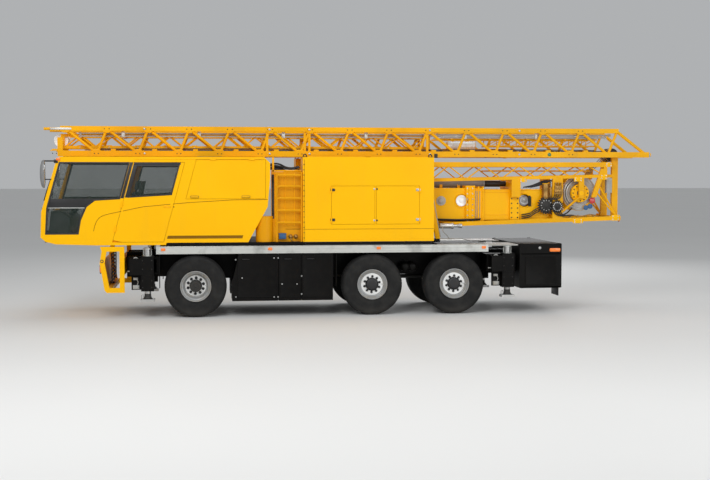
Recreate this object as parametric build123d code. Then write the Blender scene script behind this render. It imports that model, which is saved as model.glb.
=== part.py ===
"""A three-axle folding mobile tower crane in its road position.

X runs from the cab (-) to the jib's root (+), the vehicle's left side is at -Y, and Z is up
from the ground. The origin is on the ground under the middle of the vehicle. All sizes are
in millimetres. The sizes that drive the model come first, then small shape helpers, then one
function for each piece, and last the table of pieces that are written.
"""
import os
from math import atan2, cos, degrees, hypot, radians, sin

from build123d import *

# ---- Clearances -----------------------------------------------------------------------------
pin_fit = 0.5        # between a pin and its bore, on the radius
seat_gap = 0.3       # between a moving piece and what it rests on
panel_gap = 6.0      # around doors and hatches
body_half_width = 1240.0   # of the deck, the cab and the housings
hinge_diameter = 28.0
hinge_length = 60.0
hinge_leaf = (50.0, 6.0)

# ---- Wheels, axles and steering -------------------------------------------------------------
axle_x = (-3492.0, 228.0, 2003.0)
tyre_diameter = 1300.0
tyre_width = 445.0
tyre_shoulder = 75.0
rim_diameter = 640.0
rim_wall = 22.0
rim_width = 400.0
kingpin_diameter = 70.0
knuckle_half = 60.0
knuckle_height = 240.0
fork_plate = 34.0
spindle_diameter = 100.0
spindle_length = 240.0
hub_diameter = 270.0
hub_clearance = 12.0
kingpin_inset = 280.0      # from the body's side
wheel_offset = 87.5        # from the kingpin to the middle of the wheel
front_disc_offset = 80.0   # from the kingpin to the wheel's disc
rear_disc_offset = 190.0
hub_reach = 275.0          # from the kingpin to the hub's cap
disc_thickness = 24.0
axle_beam_width = 160.0
axle_beam_height = 180.0
axle_casing_diameter = 360.0

# ---- Carrier frame --------------------------------------------------------------------------
frame_front_x = -4949.0
frame_rear_x = 3439.0
frame_half_width = 400.0
frame_rail_width = 150.0
frame_bottom_z = 800.0
frame_top_z = 1330.0
deck_top_z = 1470.0
deck_plate = 30.0
deck_front_x = -4243.0
deck_rear_x = 2740.0
deck_bearer_x = (-2760.0, -2020.0, -1520.0, -1070.0, -560.0, 1115.0)
side_rail_top_z = 1490.0
side_rail_thickness = 25.0
side_rail_front_x = -4300.0
flap_x = (-4242.0, -552.0)       # of the mud flaps ahead of the wheels
flap_inner_y = 1010.0
flap_thickness = 12.0
flap_bottom_z = 620.0

# ---- Outriggers -----------------------------------------------------------------------------
outrigger_x = (-4572.0, 3093.0)
outrigger_box_length = 650.0
outrigger_box_inset = 240.0     # from the body's side
outrigger_box_bottom_z = 890.0
outrigger_box_top_z = 1260.0
outrigger_beam_width = 240.0
outrigger_beam_height = 280.0
outrigger_beam_wall = 14.0
outrigger_beam_inset = 310.0    # of its inner end, from the far side of the body
outrigger_beam_spacing = 310.0
beam_slide_fit = 2.0
jack_offset_x = 90.0
jack_inset = 85.0               # of the rod's axis, from the body's side
jack_casing_bottom_z = 560.0
jack_casing_top_z = 1290.0
jack_casing_length = 260.0
jack_casing_depth = 215.0
jack_rod_diameter = 130.0
jack_rod_top_z = 1466.0
jack_foot_bottom_z = 344.0
jack_foot_thickness = 50.0
jack_foot_size = (290.0, 220.0)

# ---- Slewing ring and platform --------------------------------------------------------------
slew_x = -770.0
slew_ring_diameter = 1500.0
slew_ring_bore = 1200.0
slew_top_z = 1504.7
platform_thickness = 61.0
body_top_z = 3345.0

# ---- Bumper and lockers ---------------------------------------------------------------------
bumper_rear_x = frame_front_x
bumper_front_x = -5452.0
bumper_top_z = 1490.0
bumper_bottom_z = 536.0
bumper_frame_width = 60.0
bumper_tube = 100.0
lamp_diameter = 190.0
locker_x = (-2736.0, -1763.0, -1281.0, -602.0)
locker_bottom_z = 330.0
locker_inner_y = 470.0
locker_gap = 12.0
locker_slope = 150.0
tail_locker_rear_x = 4372.0
tail_locker_bottom_z = 536.0

# ---- Cab ------------------------------------------------------------------------------------
cab_front_x = -6632.0
cab_bottom_z = 1520.0
cab_wall = 50.0
cab_roof_setback = 402.0        # behind the nose
cab_floor_setback = 1122.0
cab_profile = ((337.0, 3280.0), (19.0, 2212.0), (0.0, 1690.0), (101.0, 1602.0), (304.0, 1548.0))
corner_post = 90.0
cab_pillar = 70.0
side_window_top_setback = 386.0
side_window_sill_z = 2470.0
side_window_profile = ((1101.0, 2440.0), (935.0, 2314.0), (814.0, 2039.0), (764.0, 1748.0),
                       (91.0, 1748.0), (121.0, 2294.0))
windscreen_profile = ((-50.0, 1780.0), (120.0, 1780.0), (150.0, 2230.0), (470.0, 3255.0),
                      (280.0, 3255.0), (-50.0, 2230.0))
seat_front_setback = 1272.0
seat_rear_setback = 1832.0
seat_y = 560.0
seat_width = 500.0
seat_thickness = 130.0
seat_z = 1980.0
seat_back_top_z = 2860.0
seat_back_rake = 200.0
dash_setback = (12.0, 522.0)
dash_z = 2230.0
steering_wheel_diameter = 460.0
steering_column_reach = (230.0, 150.0)
steering_column_diameter = 60.0
mirror_setback = 12.0
mirror_reach = 180.0
mirror_width = 240.0
mirror_z = (2702.0, 3279.0)
mirror_thickness = 100.0
mirror_arm_length = 270.0
mirror_arm_size = 50.0
seam_slope = 0.27            # X travelled for each unit of Z along the slanting seams
cab_rear_top_x = -3604.0
cab_door_front_x = -4718.0   # at the roof's height
cab_door_rear_margin = 60.0
cab_door_bottom_z = 1580.0
cab_door_toe = (200.0, 24.0)    # length and height of the cut at the lower front corner
door_window_top_z = 3180.0
door_window_sill_z = (2500.0, 2553.0)
door_window_margin = (70.0, 90.0)
cab_door_hinge_z = (1850.0, 2350.0)
cab_window_top_z = 3235.0
glass_thickness = 8.0

# ---- Hood, ladder bay and housing -----------------------------------------------------------
hood_rear_x = -1933.0
hood_foot_x = -2395.0
hood_wall = 40.0
hood_waist_z = 2308.0
hood_shoulder_z = 2900.0
hatch_bottom_z = 2470.0
hatch_top_z = 3290.0
hatch_front_x = -3450.0
hatch_rear_x = -2020.0
hatch_thickness = 36.0
hatch_hinge_x = (-3120.0, -2320.0)
hatch_handle_x = (-3500.0, -2440.0)
engine_size = (1100.0, 800.0, 950.0)
engine_x = -3050.0
ladder_front_x = -1792.0
ladder_rear_x = -1271.0
ladder_tube = 40.0
ladder_inset = 40.0
ladder_wall_inset = 150.0
ladder_wall_thickness = 50.0
ladder_top_z = 3036.0
ladder_stay_z = (1640.0, 2980.0)
rung_diameter = 28.0
rung_z = (1966.0, 2222.0, 2476.0, 2727.0, 2959.0)
corner_x = -2045.0
corner_inset = 200.0
corner_diameter = 370.0
corner_top_z = 2106.0
housing_front_x = -1243.0
housing_rear_x = 1554.0
housing_inner_y = 640.0
housing_wall = 40.0
door_front_x = -647.0
door_split_x = 297.0
door_rear_x = 1242.0
door_bottom_z = 1928.0
door_top_z = 2743.0
housing_door_hinge_z = (2026.0, 2658.0)

# ---- Mast -----------------------------------------------------------------------------------
mast_hinge_x = -470.0
mast_z = 2320.0
mast_size = 730.0
mast_wall = 22.0
mast_heel = 350.0            # behind the hinge
mast_end_x = 2840.0
mast_collar_x = 2428.0
mast_collar_length = 210.0
mast_collar_size = (840.0, 836.0)
mast_rib_x = (2710.0, 2812.0)
mast_rib_thickness = 28.0
mast_rib_size = 800.0
mast_slide_fit = 5.0
mast_pin_diameter = 160.0
mast_cheek_y = 440.0
mast_cheek_thickness = 70.0
mast_cheek_length = 560.0
rest_rear_x = 1810.0            # of the frame that the lowered mast lies on
rest_width = 90.0
rest_lean = 190.0               # forwards, from its foot to its top
rest_top_z = 2650.0
rest_y = 570.0
rest_thickness = 60.0
rest_clearance = 8.0
inner_mast_front_x = -620.0
inner_collar_x = 3442.0
inner_collar_length = 204.0
inner_collar_width = 800.0
inner_collar_z = (1985.0, 2811.0)
inner_mast_rear_x = 4380.0
mast_window_diameter = 280.0
mast_window_x = (2346.0, 3784.0)
mast_window_z = 2405.0
ram_z = 2780.0
ram_diameter = 180.0
ram_bore = 110.0
ram_rear_x = 2940.0
ram_stand_x = (1940.0, 2340.0)
head_block_length = 230.0

# ---- Tail frame on the mast's head ----------------------------------------------------------
tail_inner_y = 450.0
tail_bar = 70.0
tail_low_z = (1842.0, 1967.0)          # at the front and the rear end
tail_low_height = 90.0
tail_low_front_x = 1910.0
tail_low_rear_x = 5950.0
tail_mid_z = (2826.0, 2917.0)
tail_mid_height = 72.0
tail_mid_rear_x = 5630.0
tail_high_z = 3152.0
tail_high_height = 106.0
tail_high_rear_x = 5740.0
tail_front_x = 1600.0
tail_brace_pitch = 380.0
tail_brace_width = 28.0
post_inner_y = 300.0
post_width = 100.0
post_front_x = 5785.0
post_length = 135.0
rope_sheave_diameter = 300.0     # on the jib's hinge shaft
rope_sheave_thickness = 40.0
rope_sheave_y = (-150.0, 0.0, 150.0)
slant_bar = ((5595.0, 3110.0), (5345.0, 2480.0))
slant_width = 110.0
fan_foot = (5870.0, 2030.0)      # where the thin rear diagonals meet
fan_heads = ((5370.0, 2620.0), (5440.0, 2760.0))
fan_diameter = 40.0
winch_x = 5040.0
winch_z = 2570.0
winch_flange_diameter = 790.0
winch_drum_diameter = 520.0
winch_half_width = 300.0
winch_flange_thickness = 30.0
winch_motor_diameter = 410.0
winch_motor_y = 425.0
winch_shaft_diameter = 100.0
swing_drive_x = 4240.0           # of the drive on the mast's left side
swing_drive_z = 2300.0
swing_drive_diameter = 250.0
swing_drive_reach = 500.0
swing_motor_diameter = 150.0
swing_motor_top_z = 2790.0

# ---- Jib ------------------------------------------------------------------------------------
jib_bottom_z = 3365.0
jib_chord = 100.0
jib_low_height = 120.0
jib_height = 635.0
jib_half_width = 560.0
jib_front_x = -6350.0
jib_nose_x = 6580.0
jib_top_front_x = -6290.0
jib_top_rear_x = 5870.0
jib_hinge_x = 5852.0
jib_hinge_pin = 70.0
jib_lacing = 60.0
jib_bay = 860.0
jib_bay_count = 14
jib_first_node_x = 5850.0
jib_foot_lead = 210.0            # of a lower node, from the upper node behind it
jib_post_x = (1541.0, -1044.0, -1145.0, -1953.0)
jib_post_width = 50.0
jib_bar_reach = 280.0            # of the bars at the front, past the chords
jib_bar_diameter = 60.0
jib_cap = (80.0, 52.0)           # diameter and reach of the nose's caps
jib_tie_thickness = 37.0
jib_tie_shift = 130.0            # behind the upper nodes
jib_ledge = 40.0
jib_ledge_thickness = 12.0
hoist_motor_diameter = 190.0
hoist_motor_x = (2084.0, 2729.0)

# ---- Folded jib tip -------------------------------------------------------------------------
tip_pivot_x = -6300.0
tip_pivot_z = 3700.0
tip_pivot_diameter = 60.0
tip_rear_x = 1630.0
tip_half_width = 380.0
tip_bottom_z = 3530.0
tip_height = 310.0
tip_chord = 60.0
tip_lacing = 36.0
tip_bay = 600.0
tip_sheave_diameter = 290.0
tip_sheave_y = (-300.0, -100.0, 100.0, 300.0)
tip_sheave_thickness = 36.0

# ---- Trolley --------------------------------------------------------------------------------
trolley_front_x = 2780.0
trolley_length = 700.0
trolley_wheel_diameter = 72.0
trolley_wheel_width = 28.0
trolley_frame_height = 70.0

# ---- Places that follow from the sizes above ------------------------------------------------
wheel_z = tyre_diameter / 2
kingpin_y = body_half_width - kingpin_inset
wheel_y = kingpin_y + wheel_offset
jack_y = body_half_width - jack_inset
outrigger_box_half_width = body_half_width - outrigger_box_inset
outrigger_beam_inner_y = body_half_width - outrigger_beam_inset
road_height = jib_bottom_z + jib_height
jib_top_z = road_height - jib_chord
platform_bottom_z = slew_top_z + seat_gap
platform_top_z = platform_bottom_z + platform_thickness
hinge_offset = hinge_diameter / 2 + seat_gap
hinge_y = body_half_width + hinge_offset


def seam_x(top_x, z):
    """X of a seam that slants forward from top_x at the roof."""
    return top_x - seam_slope * (body_top_z - z)


# ---- Shape helpers --------------------------------------------------------------------------
def block(x0, x1, y0, y1, z0, z1):
    """A box from its two corners."""
    middle = ((x0 + x1) / 2, (y0 + y1) / 2, (z0 + z1) / 2)
    return Pos(*middle) * Box(abs(x1 - x0), abs(y1 - y0), abs(z1 - z0))


def rod_x(x0, x1, y, z, diameter):
    return Pos((x0 + x1) / 2, y, z) * Rot(0, 90, 0) * Cylinder(diameter / 2, abs(x1 - x0))


def rod_y(x, y0, y1, z, diameter):
    return Pos(x, (y0 + y1) / 2, z) * Rot(90, 0, 0) * Cylinder(diameter / 2, abs(y1 - y0))


def rod_z(x, y, z0, z1, diameter):
    return Pos(x, y, (z0 + z1) / 2) * Cylinder(diameter / 2, abs(z1 - z0))


def strut(start, end, y, diameter):
    """A round bar between two (X, Z) points in the plane at y."""
    run = (end[0] - start[0], end[1] - start[1])
    turn = Rot(0, degrees(atan2(run[0], run[1])), 0)
    middle = ((start[0] + end[0]) / 2, y, (start[1] + end[1]) / 2)
    return Pos(*middle) * turn * Cylinder(diameter / 2, hypot(*run))


def flat(points, y0, y1):
    """A plate whose outline is a list of (X, Z) points, from y0 to y1."""
    face = make_face(Plane.XZ * Polyline(*points, close=True))
    return Pos(0, max(y0, y1), 0) * extrude(face, abs(y1 - y0), dir=(0, -1, 0))


def joined(pieces):
    """One shape from many that touch or overlap."""
    first, *others = pieces
    return first + others if others else first


def both_sides(piece):
    """A left piece and its mirror on the right."""
    return [piece, mirror(piece, about=Plane.XZ)]


def beside(side, y0, y1):
    """Y limits on one side: side is -1 for the left and 1 for the right."""
    return sorted((side * y0, side * y1))


def hinge_halves(points, axis, toward, lift):
    """The fixed and the moving halves of lift-off hinges at some points.

    axis is the way the panel turns by the right-hand rule, toward points from the hinge to the
    panel, and lift says at which end of the axis the moving half lies.
    """
    fixed, moving = [], []
    leaf_length, leaf_thickness = hinge_leaf
    for point in points:
        place = Plane(origin=point, x_dir=toward, z_dir=axis).location
        for halves, side in ((fixed, -1), (moving, 1)):
            low, high = sorted((side * lift * seat_gap / 2, side * lift * hinge_length))
            barrel = rod_z(0, 0, low, high, hinge_diameter)
            leaf = block(0, side * leaf_length, -hinge_offset, leaf_thickness - hinge_offset,
                         low, high)
            halves.append(place * (barrel + leaf))
    return fixed, moving


def cab_door_hinges():
    points = [(seam_x(cab_door_front_x, z), -hinge_y, z) for z in cab_door_hinge_z]
    return hinge_halves(points, (-seam_slope, 0, -1), (1, 0, -seam_slope), -1)


def hatch_hinges(side):
    points = [(x, side * hinge_y, hatch_top_z) for x in hatch_hinge_x]
    return hinge_halves(points, (side, 0, 0), (0, 0, -1), 1)


def housing_door_hinges(x, toward):
    points = [(x, -hinge_y, z) for z in housing_door_hinge_z]
    return hinge_halves(points, (0, 0, -toward), (toward, 0, 0), -toward)


# ---- Running gear ---------------------------------------------------------------------------
def axle(x):
    """A beam with its casing, the forks at its ends and the seats under the frame rails."""
    fork = knuckle_height / 2
    web_y = kingpin_y - knuckle_half * 2
    pieces = [block(x - axle_beam_width / 2, x + axle_beam_width / 2, -web_y, web_y,
                    wheel_z - axle_beam_height / 2, wheel_z + axle_beam_height / 2),
              rod_y(x, -frame_half_width / 2, frame_half_width / 2, wheel_z, axle_casing_diameter)]
    near, far = x - knuckle_half, x + knuckle_half
    for side in (-1, 1):
        y0, y1 = beside(side, web_y, web_y + fork_plate / 2)
        top = fork + fork_plate
        pieces.append(block(near, far, y0, y1, wheel_z - top, wheel_z + top))
        y0, y1 = beside(side, web_y, kingpin_y)
        for low in (wheel_z - top, wheel_z + fork):
            pieces.append(block(near, far, y0, y1, low, low + fork_plate))
            pieces.append(rod_z(x, side * kingpin_y, low, low + fork_plate, 2 * knuckle_half))
        y0, y1 = beside(side, frame_half_width - frame_rail_width, frame_half_width)
        pieces.append(block(near, far, y0, y1, wheel_z, frame_bottom_z))
    body = joined(pieces)
    for side in (-1, 1):
        body -= rod_z(x, side * kingpin_y, wheel_z - 2 * fork, wheel_z + 2 * fork,
                      kingpin_diameter + 2 * pin_fit)
    return body


def axles():
    return [axle(x) for x in axle_x]


def knuckle(x, side):
    """The block that turns in the axle's fork, with its kingpin and spindle."""
    half = knuckle_height / 2 - pin_fit
    reach = knuckle_height / 2 + fork_plate
    y = side * kingpin_y
    body = block(x - knuckle_half, x + knuckle_half, y - knuckle_half, y + knuckle_half,
                 wheel_z - half, wheel_z + half)
    body += rod_z(x, y, wheel_z - reach, wheel_z + reach, kingpin_diameter)
    body += rod_y(x, y, side * (kingpin_y + spindle_length), wheel_z, spindle_diameter)
    return body


def rim(x, side, disc_offset):
    """A barrel with its disc and hub; disc_offset sets how deeply the wheel is dished."""
    y0, y1 = beside(side, wheel_y - rim_width / 2, wheel_y + rim_width / 2)
    inner = rim_diameter - 2 * rim_wall
    body = rod_y(x, y0, y1, wheel_z, rim_diameter) - rod_y(x, y0, y1, wheel_z, inner)
    disc_y = kingpin_y + disc_offset
    y0, y1 = beside(side, disc_y, disc_y + disc_thickness)
    body += rod_y(x, y0, y1, wheel_z, inner + rim_wall)
    hub_start = kingpin_y + knuckle_half + hub_clearance
    y0, y1 = beside(side, hub_start, kingpin_y + hub_reach)
    body += rod_y(x, y0, y1, wheel_z, hub_diameter)
    y0, y1 = beside(side, hub_start, kingpin_y + spindle_length + 2)
    return body - rod_y(x, y0, y1, wheel_z, spindle_diameter + 2 * pin_fit)


def tyre(x, side):
    """A ring with round shoulders around the rim."""
    tread, bead = tyre_diameter / 2, rim_diameter / 2
    height = tread - bead
    section = Pos(bead + height / 2, 0) * Rectangle(height, tyre_width)
    corners = section.vertices().sort_by(Axis.X)
    section = fillet(corners[2:], tyre_shoulder)
    section = fillet(section.vertices().sort_by(Axis.X)[:2], tyre_shoulder / 2)
    ring = revolve(Plane.XY * section, Axis.Y)
    return Pos(x, side * wheel_y, wheel_z) * ring


# ---- Carrier --------------------------------------------------------------------------------
def chassis():
    """Two rails with cross members, the deck, mud flaps, slewing ring and outrigger boxes."""
    inner = frame_half_width - frame_rail_width
    pieces = []
    for side in (-1, 1):
        y0, y1 = beside(side, inner, frame_half_width)
        pieces.append(block(frame_front_x, frame_rear_x, y0, y1, frame_bottom_z, frame_top_z))
    cross_x = [x + shift for x in axle_x for shift in (-560, 560)]
    for x in cross_x:
        pieces.append(block(x - 35, x + 35, -frame_half_width, frame_half_width,
                            frame_bottom_z + 60, frame_top_z - 40))
    under_deck = deck_top_z - deck_plate
    for x in (deck_front_x + 60, *deck_bearer_x, deck_rear_x - 60):
        pieces.append(block(x - 40, x + 40, -body_half_width, body_half_width,
                            frame_top_z, under_deck))
    pieces.append(block(deck_front_x, deck_rear_x, -body_half_width, body_half_width,
                        under_deck, deck_top_z))
    pieces.append(rod_z(slew_x, 0, frame_top_z, deck_top_z, slew_ring_diameter))
    pieces.append(rod_z(slew_x, 0, deck_top_z - 10, slew_top_z, slew_ring_diameter)
                  - rod_z(slew_x, 0, deck_top_z - 10, slew_top_z, slew_ring_bore))
    for x in flap_x:
        pieces += both_sides(block(x, x + flap_thickness, -body_half_width, -flap_inner_y,
                                   flap_bottom_z, under_deck))
    for x in outrigger_x:
        half = outrigger_box_length / 2
        pieces.append(block(x - half, x + half, -outrigger_box_half_width,
                            outrigger_box_half_width, outrigger_box_bottom_z,
                            outrigger_box_top_z))
    body = joined(pieces)
    for x in outrigger_x:
        for side in (-1, 1):
            body -= beam_space(x, side)
    return body


def beam_middle(x, side):
    return x + side * outrigger_beam_spacing / 2


def beam_space(x, side):
    """The tunnel that an outrigger beam slides in."""
    middle = beam_middle(x, side)
    half = outrigger_beam_width / 2 + beam_slide_fit
    low = outrigger_box_bottom_z + 40
    return block(middle - half, middle + half, -1300, 1300, low,
                 low + outrigger_beam_height + 2 * beam_slide_fit)


def outrigger_beam(x, side):
    """A hollow beam with the casing of its jack at the outer end."""
    middle = beam_middle(x, side)
    half = outrigger_beam_width / 2
    low = outrigger_box_bottom_z + 40 + seat_gap
    high = low + outrigger_beam_height
    casing_inner = jack_y - jack_casing_depth / 2
    y0, y1 = beside(side, -outrigger_beam_inner_y, casing_inner + 10)
    body = block(middle - half, middle + half, y0, y1, low, high)
    wall = outrigger_beam_wall
    body -= block(middle - half + wall, middle + half - wall, y0, y1, low + wall, high - wall)
    y0, y1 = beside(side, casing_inner, jack_y + jack_casing_depth / 2)
    jack_x = x + jack_offset_x
    body += block(min(middle - half, jack_x - jack_casing_length / 2),
                  max(middle + half, jack_x + jack_casing_length / 2), y0, y1,
                  low - 30, high + 30)
    body += block(jack_x - jack_casing_length / 2, jack_x + jack_casing_length / 2, y0, y1,
                  jack_casing_bottom_z, jack_casing_top_z)
    return body - rod_z(jack_x, side * jack_y, 0, road_height, jack_rod_diameter + 2 * pin_fit)


def jack(x, side):
    """The rod that slides down in the casing, with its foot."""
    jack_x, y = x + jack_offset_x, side * jack_y
    foot_top = jack_foot_bottom_z + jack_foot_thickness
    long, wide = jack_foot_size
    body = rod_z(jack_x, y, foot_top - 10, jack_rod_top_z, jack_rod_diameter)
    foot = block(jack_x - long / 2, jack_x + long / 2, y - wide / 2, y + wide / 2,
                 jack_foot_bottom_z, foot_top)
    return body + foot


def deck_rails():
    """The light edge rails along both sides of the deck."""
    low = frame_top_z
    outer = body_half_width + side_rail_thickness
    rail = block(side_rail_front_x, deck_rear_x, -outer, -body_half_width, low, side_rail_top_z)
    return both_sides(rail)


def bumper():
    """An open frame at each side, joined by the front panel, a foot bar and a rear beam."""
    outer, inner = body_half_width, body_half_width - bumper_frame_width
    rear = bumper_rear_x
    nose = bumper_front_x
    outline = [(rear, bumper_top_z), (nose + 10, bumper_top_z), (nose + 40, 1400), (nose, 1150),
               (nose + 93, 590), (nose + 140, bumper_bottom_z), (rear, bumper_bottom_z)]
    tube = bumper_tube
    hole = [(rear - tube, bumper_top_z - tube), (nose + tube + 40, bumper_top_z - tube),
            (nose + tube, 1150), (nose + tube + 93, bumper_bottom_z + tube),
            (rear - tube, bumper_bottom_z + tube)]
    side_frame = flat(outline, -outer, -inner) - flat(hole, -outer, -inner)
    panel = [(nose + 4, 1180), (nose, 1150), (nose + 93, 590), (nose + 133, 590),
             (nose + 44, 1150), (nose + 44, 1180)]
    pieces = both_sides(side_frame)
    pieces.append(flat(panel, -inner, inner))
    pieces.append(block(rear - tube, rear, -inner, inner, 900, 1250))
    pieces.append(block(nose + 140, nose + 240, -inner, inner, bumper_bottom_z,
                        bumper_bottom_z + tube))
    for side in (-1, 1):
        for y in (720, 980):
            pieces.append(rod_x(nose - 4, nose + 60, side * y, 1020, lamp_diameter))
    return joined(pieces)


def lockers():
    """Three lockers at each side between the axles, and the one across the tail."""
    boxes = []
    ends = zip(locker_x, locker_x[1:])
    for number, (front, rear) in enumerate(ends):
        rear -= locker_gap
        lead = locker_slope if number == 0 else 0
        outline = [(front + lead, frame_top_z), (rear, frame_top_z), (rear, locker_bottom_z),
                   (front, locker_bottom_z), (front, locker_bottom_z + 400)]
        boxes += both_sides(flat(outline, -body_half_width, -locker_inner_y))
    boxes.append(block(frame_rear_x, tail_locker_rear_x, -body_half_width, body_half_width,
                       tail_locker_bottom_z, bumper_top_z))
    return boxes


# ---- Slewing body ---------------------------------------------------------------------------
def platform():
    """The slewing plate with the race under it, the mast's cheeks and the rest behind them."""
    plate_front = seam_x(cab_rear_top_x, platform_bottom_z) + 30
    plate_top = (platform_bottom_z, platform_top_z)
    rest_outer = rest_y + rest_thickness
    pieces = [block(plate_front, housing_rear_x, -body_half_width, body_half_width, *plate_top),
              block(housing_rear_x, rest_rear_x, -rest_outer, rest_outer, *plate_top),
              rod_z(slew_x, 0, deck_top_z + 5, platform_bottom_z,
                    slew_ring_bore - 2 * pin_fit)]
    half = mast_cheek_length / 2
    head = mast_z + half
    cheek = flat([(mast_hinge_x - half, platform_top_z), (mast_hinge_x + half, platform_top_z),
                  (mast_hinge_x + half * 0.6, head), (mast_hinge_x - half * 0.6, head)],
                 -mast_cheek_y - mast_cheek_thickness, -mast_cheek_y)
    foot_x, lean, width = rest_rear_x - rest_width, rest_lean, rest_width
    post = flat([(foot_x - lean, rest_top_z), (foot_x - lean + width, rest_top_z),
                 (foot_x + width, platform_top_z), (foot_x, platform_top_z)],
                -rest_outer, -rest_y)
    bearer_top = mast_z - mast_size / 2 - rest_clearance
    bearer_x = foot_x - lean * (bearer_top - platform_top_z) / (rest_top_z - platform_top_z)
    bearer = block(bearer_x, bearer_x + width, -rest_outer, rest_outer,
                   bearer_top - rest_thickness, bearer_top)
    pieces += both_sides(cheek) + both_sides(post) + [bearer]
    body = joined(pieces)
    return body - rod_y(mast_hinge_x, -road_height, road_height, mast_z,
                        mast_pin_diameter + 2 * pin_fit)


def cab_outline():
    """The cab's side outline, clockwise from the roof's rear end."""
    nose = cab_front_x
    return [(cab_rear_top_x, body_top_z), (nose + cab_roof_setback, body_top_z),
            *past_nose(cab_profile), (nose + cab_floor_setback, cab_bottom_z),
            (seam_x(cab_rear_top_x, cab_bottom_z), cab_bottom_z)]


def past_nose(profile):
    """Points given by how far they lie behind the cab's nose."""
    return [(cab_front_x + back, z) for back, z in profile]


def cab_section(inset):
    """The outline moved inwards by inset."""
    face = make_face(Plane.XZ * Polyline(*cab_outline(), close=True))
    return offset(face, -inset, kind=Kind.INTERSECTION) if inset else face


def cab_layer(inset, half_width):
    face = cab_section(inset)
    return Pos(0, half_width, 0) * extrude(face, 2 * half_width, dir=(0, -1, 0))


def door_outline(gap):
    """The slanting left door, smaller all round by gap."""
    low, high = cab_door_bottom_z + gap, cab_window_top_z - gap
    front, rear = cab_door_front_x + gap, cab_rear_top_x - cab_door_rear_margin - gap
    return [(seam_x(front, low), low), (seam_x(rear, low), low),
            (seam_x(rear, high), high), (seam_x(front, high), high)]


def door_window_outline():
    """The window in the door; its sill rises to the rear."""
    high = door_window_top_z
    front = cab_door_front_x + door_window_margin[0]
    rear = cab_rear_top_x - cab_door_rear_margin - door_window_margin[1]
    sill_front, sill_rear = door_window_sill_z
    return [(seam_x(front, sill_front), sill_front), (seam_x(rear, sill_rear), sill_rear),
            (seam_x(rear, high), high), (seam_x(front, high), high)]


def side_window_outline():
    """The fixed side window, which reaches down beside the driver's knees."""
    high = cab_window_top_z
    front = cab_door_front_x - cab_pillar
    return [(cab_front_x + side_window_top_setback, high), (seam_x(front, high), high),
            (seam_x(front, side_window_sill_z), side_window_sill_z),
            *past_nose(side_window_profile)]


def windscreen_space():
    """The opening across the cab's front, between the corner posts."""
    half = body_half_width - corner_post
    return flat(past_nose(windscreen_profile), -half, half)


def cab_shell():
    """The cab's hollow shell with its windscreen, side windows and door cut out."""
    inner = body_half_width - cab_wall
    body = cab_layer(0, body_half_width) - cab_layer(cab_wall, inner)
    body -= windscreen_space()
    outer = body_half_width
    for side in (-1, 1):
        y0, y1 = beside(side, inner, outer)
        body -= flat(side_window_outline(), y0, y1)
    body -= flat(door_outline(0), -outer, -inner)
    body -= flat(door_window_outline(), inner, outer)
    return joined([body] + cab_door_hinges()[0])


def cab_glass():
    """The windscreen, both fixed side windows and the right rear window."""
    inset, half = cab_wall / 2, body_half_width
    screen = cab_layer(inset, half) - cab_layer(inset + glass_thickness, half)
    panes = [screen & windscreen_space()]
    y0, y1 = -body_half_width + inset, -body_half_width + inset + glass_thickness
    panes += both_sides(flat(side_window_outline(), y0, y1))
    panes.append(flat(door_window_outline(), -y1, -y0))
    return panes


def cab_door():
    """The left door; its lower front corner is cut back, as it dips when the door swings."""
    inner = body_half_width - cab_wall
    body = flat(door_outline(panel_gap), -body_half_width, -inner)
    body -= flat(door_window_outline(), -body_half_width, -inner)
    low = cab_door_bottom_z + panel_gap
    front = seam_x(cab_door_front_x + panel_gap, low)
    long, high = cab_door_toe
    body -= flat([(front - high, low - high), (front + long, low), (front - high, low + 2 * high)],
                 -body_half_width, -inner)
    return joined([body] + cab_door_hinges()[1])


def cab_door_glass():
    y0 = -body_half_width + cab_wall / 2
    return flat(door_window_outline(), y0, y0 + glass_thickness)


def cab_interior():
    """Two seats, the dash and the steering column on the cab's floor."""
    floor = cab_bottom_z + cab_wall
    front, rear = cab_front_x + seat_front_setback, cab_front_x + seat_rear_setback
    half, rake = seat_width / 2, seat_back_rake
    pieces = []
    for y in (-seat_y, seat_y):
        base = block(front + seat_thickness, rear - seat_thickness, y - half * 0.8, y + half * 0.8,
                     floor, seat_z)
        cushion = block(front, rear, y - half, y + half, seat_z, seat_z + seat_thickness)
        back = flat([(rear - seat_thickness, seat_z + 80), (rear + 40, seat_z + 80),
                     (rear + rake, seat_back_top_z), (rear + rake - seat_thickness,
                                                      seat_back_top_z)], y - half, y + half)
        pieces.append(joined([base, cushion, back]))
    reach = body_half_width - 2 * seat_thickness + 100
    foot, face = cab_front_x + dash_setback[0], cab_front_x + dash_setback[1]
    dash = flat([(foot, cab_bottom_z), (face, cab_bottom_z), (face + 60, dash_z - 140),
                 (face - 140, dash_z), (foot + 170, dash_z), (foot + 130, dash_z - 460),
                 (foot, dash_z - 460)], -reach, reach)
    dash &= cab_layer(cab_wall, reach)
    head_x, head_z = face + steering_column_reach[0], dash_z + steering_column_reach[1]
    column = strut((face - 90, dash_z - 170), (head_x, head_z), -seat_y,
                   steering_column_diameter)
    wheel = Pos(head_x, -seat_y, head_z) * Rot(0, -45, 0) * Cylinder(steering_wheel_diameter / 2,
                                                                     30)
    pieces.append(joined([dash, column, wheel]))
    return pieces


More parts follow.
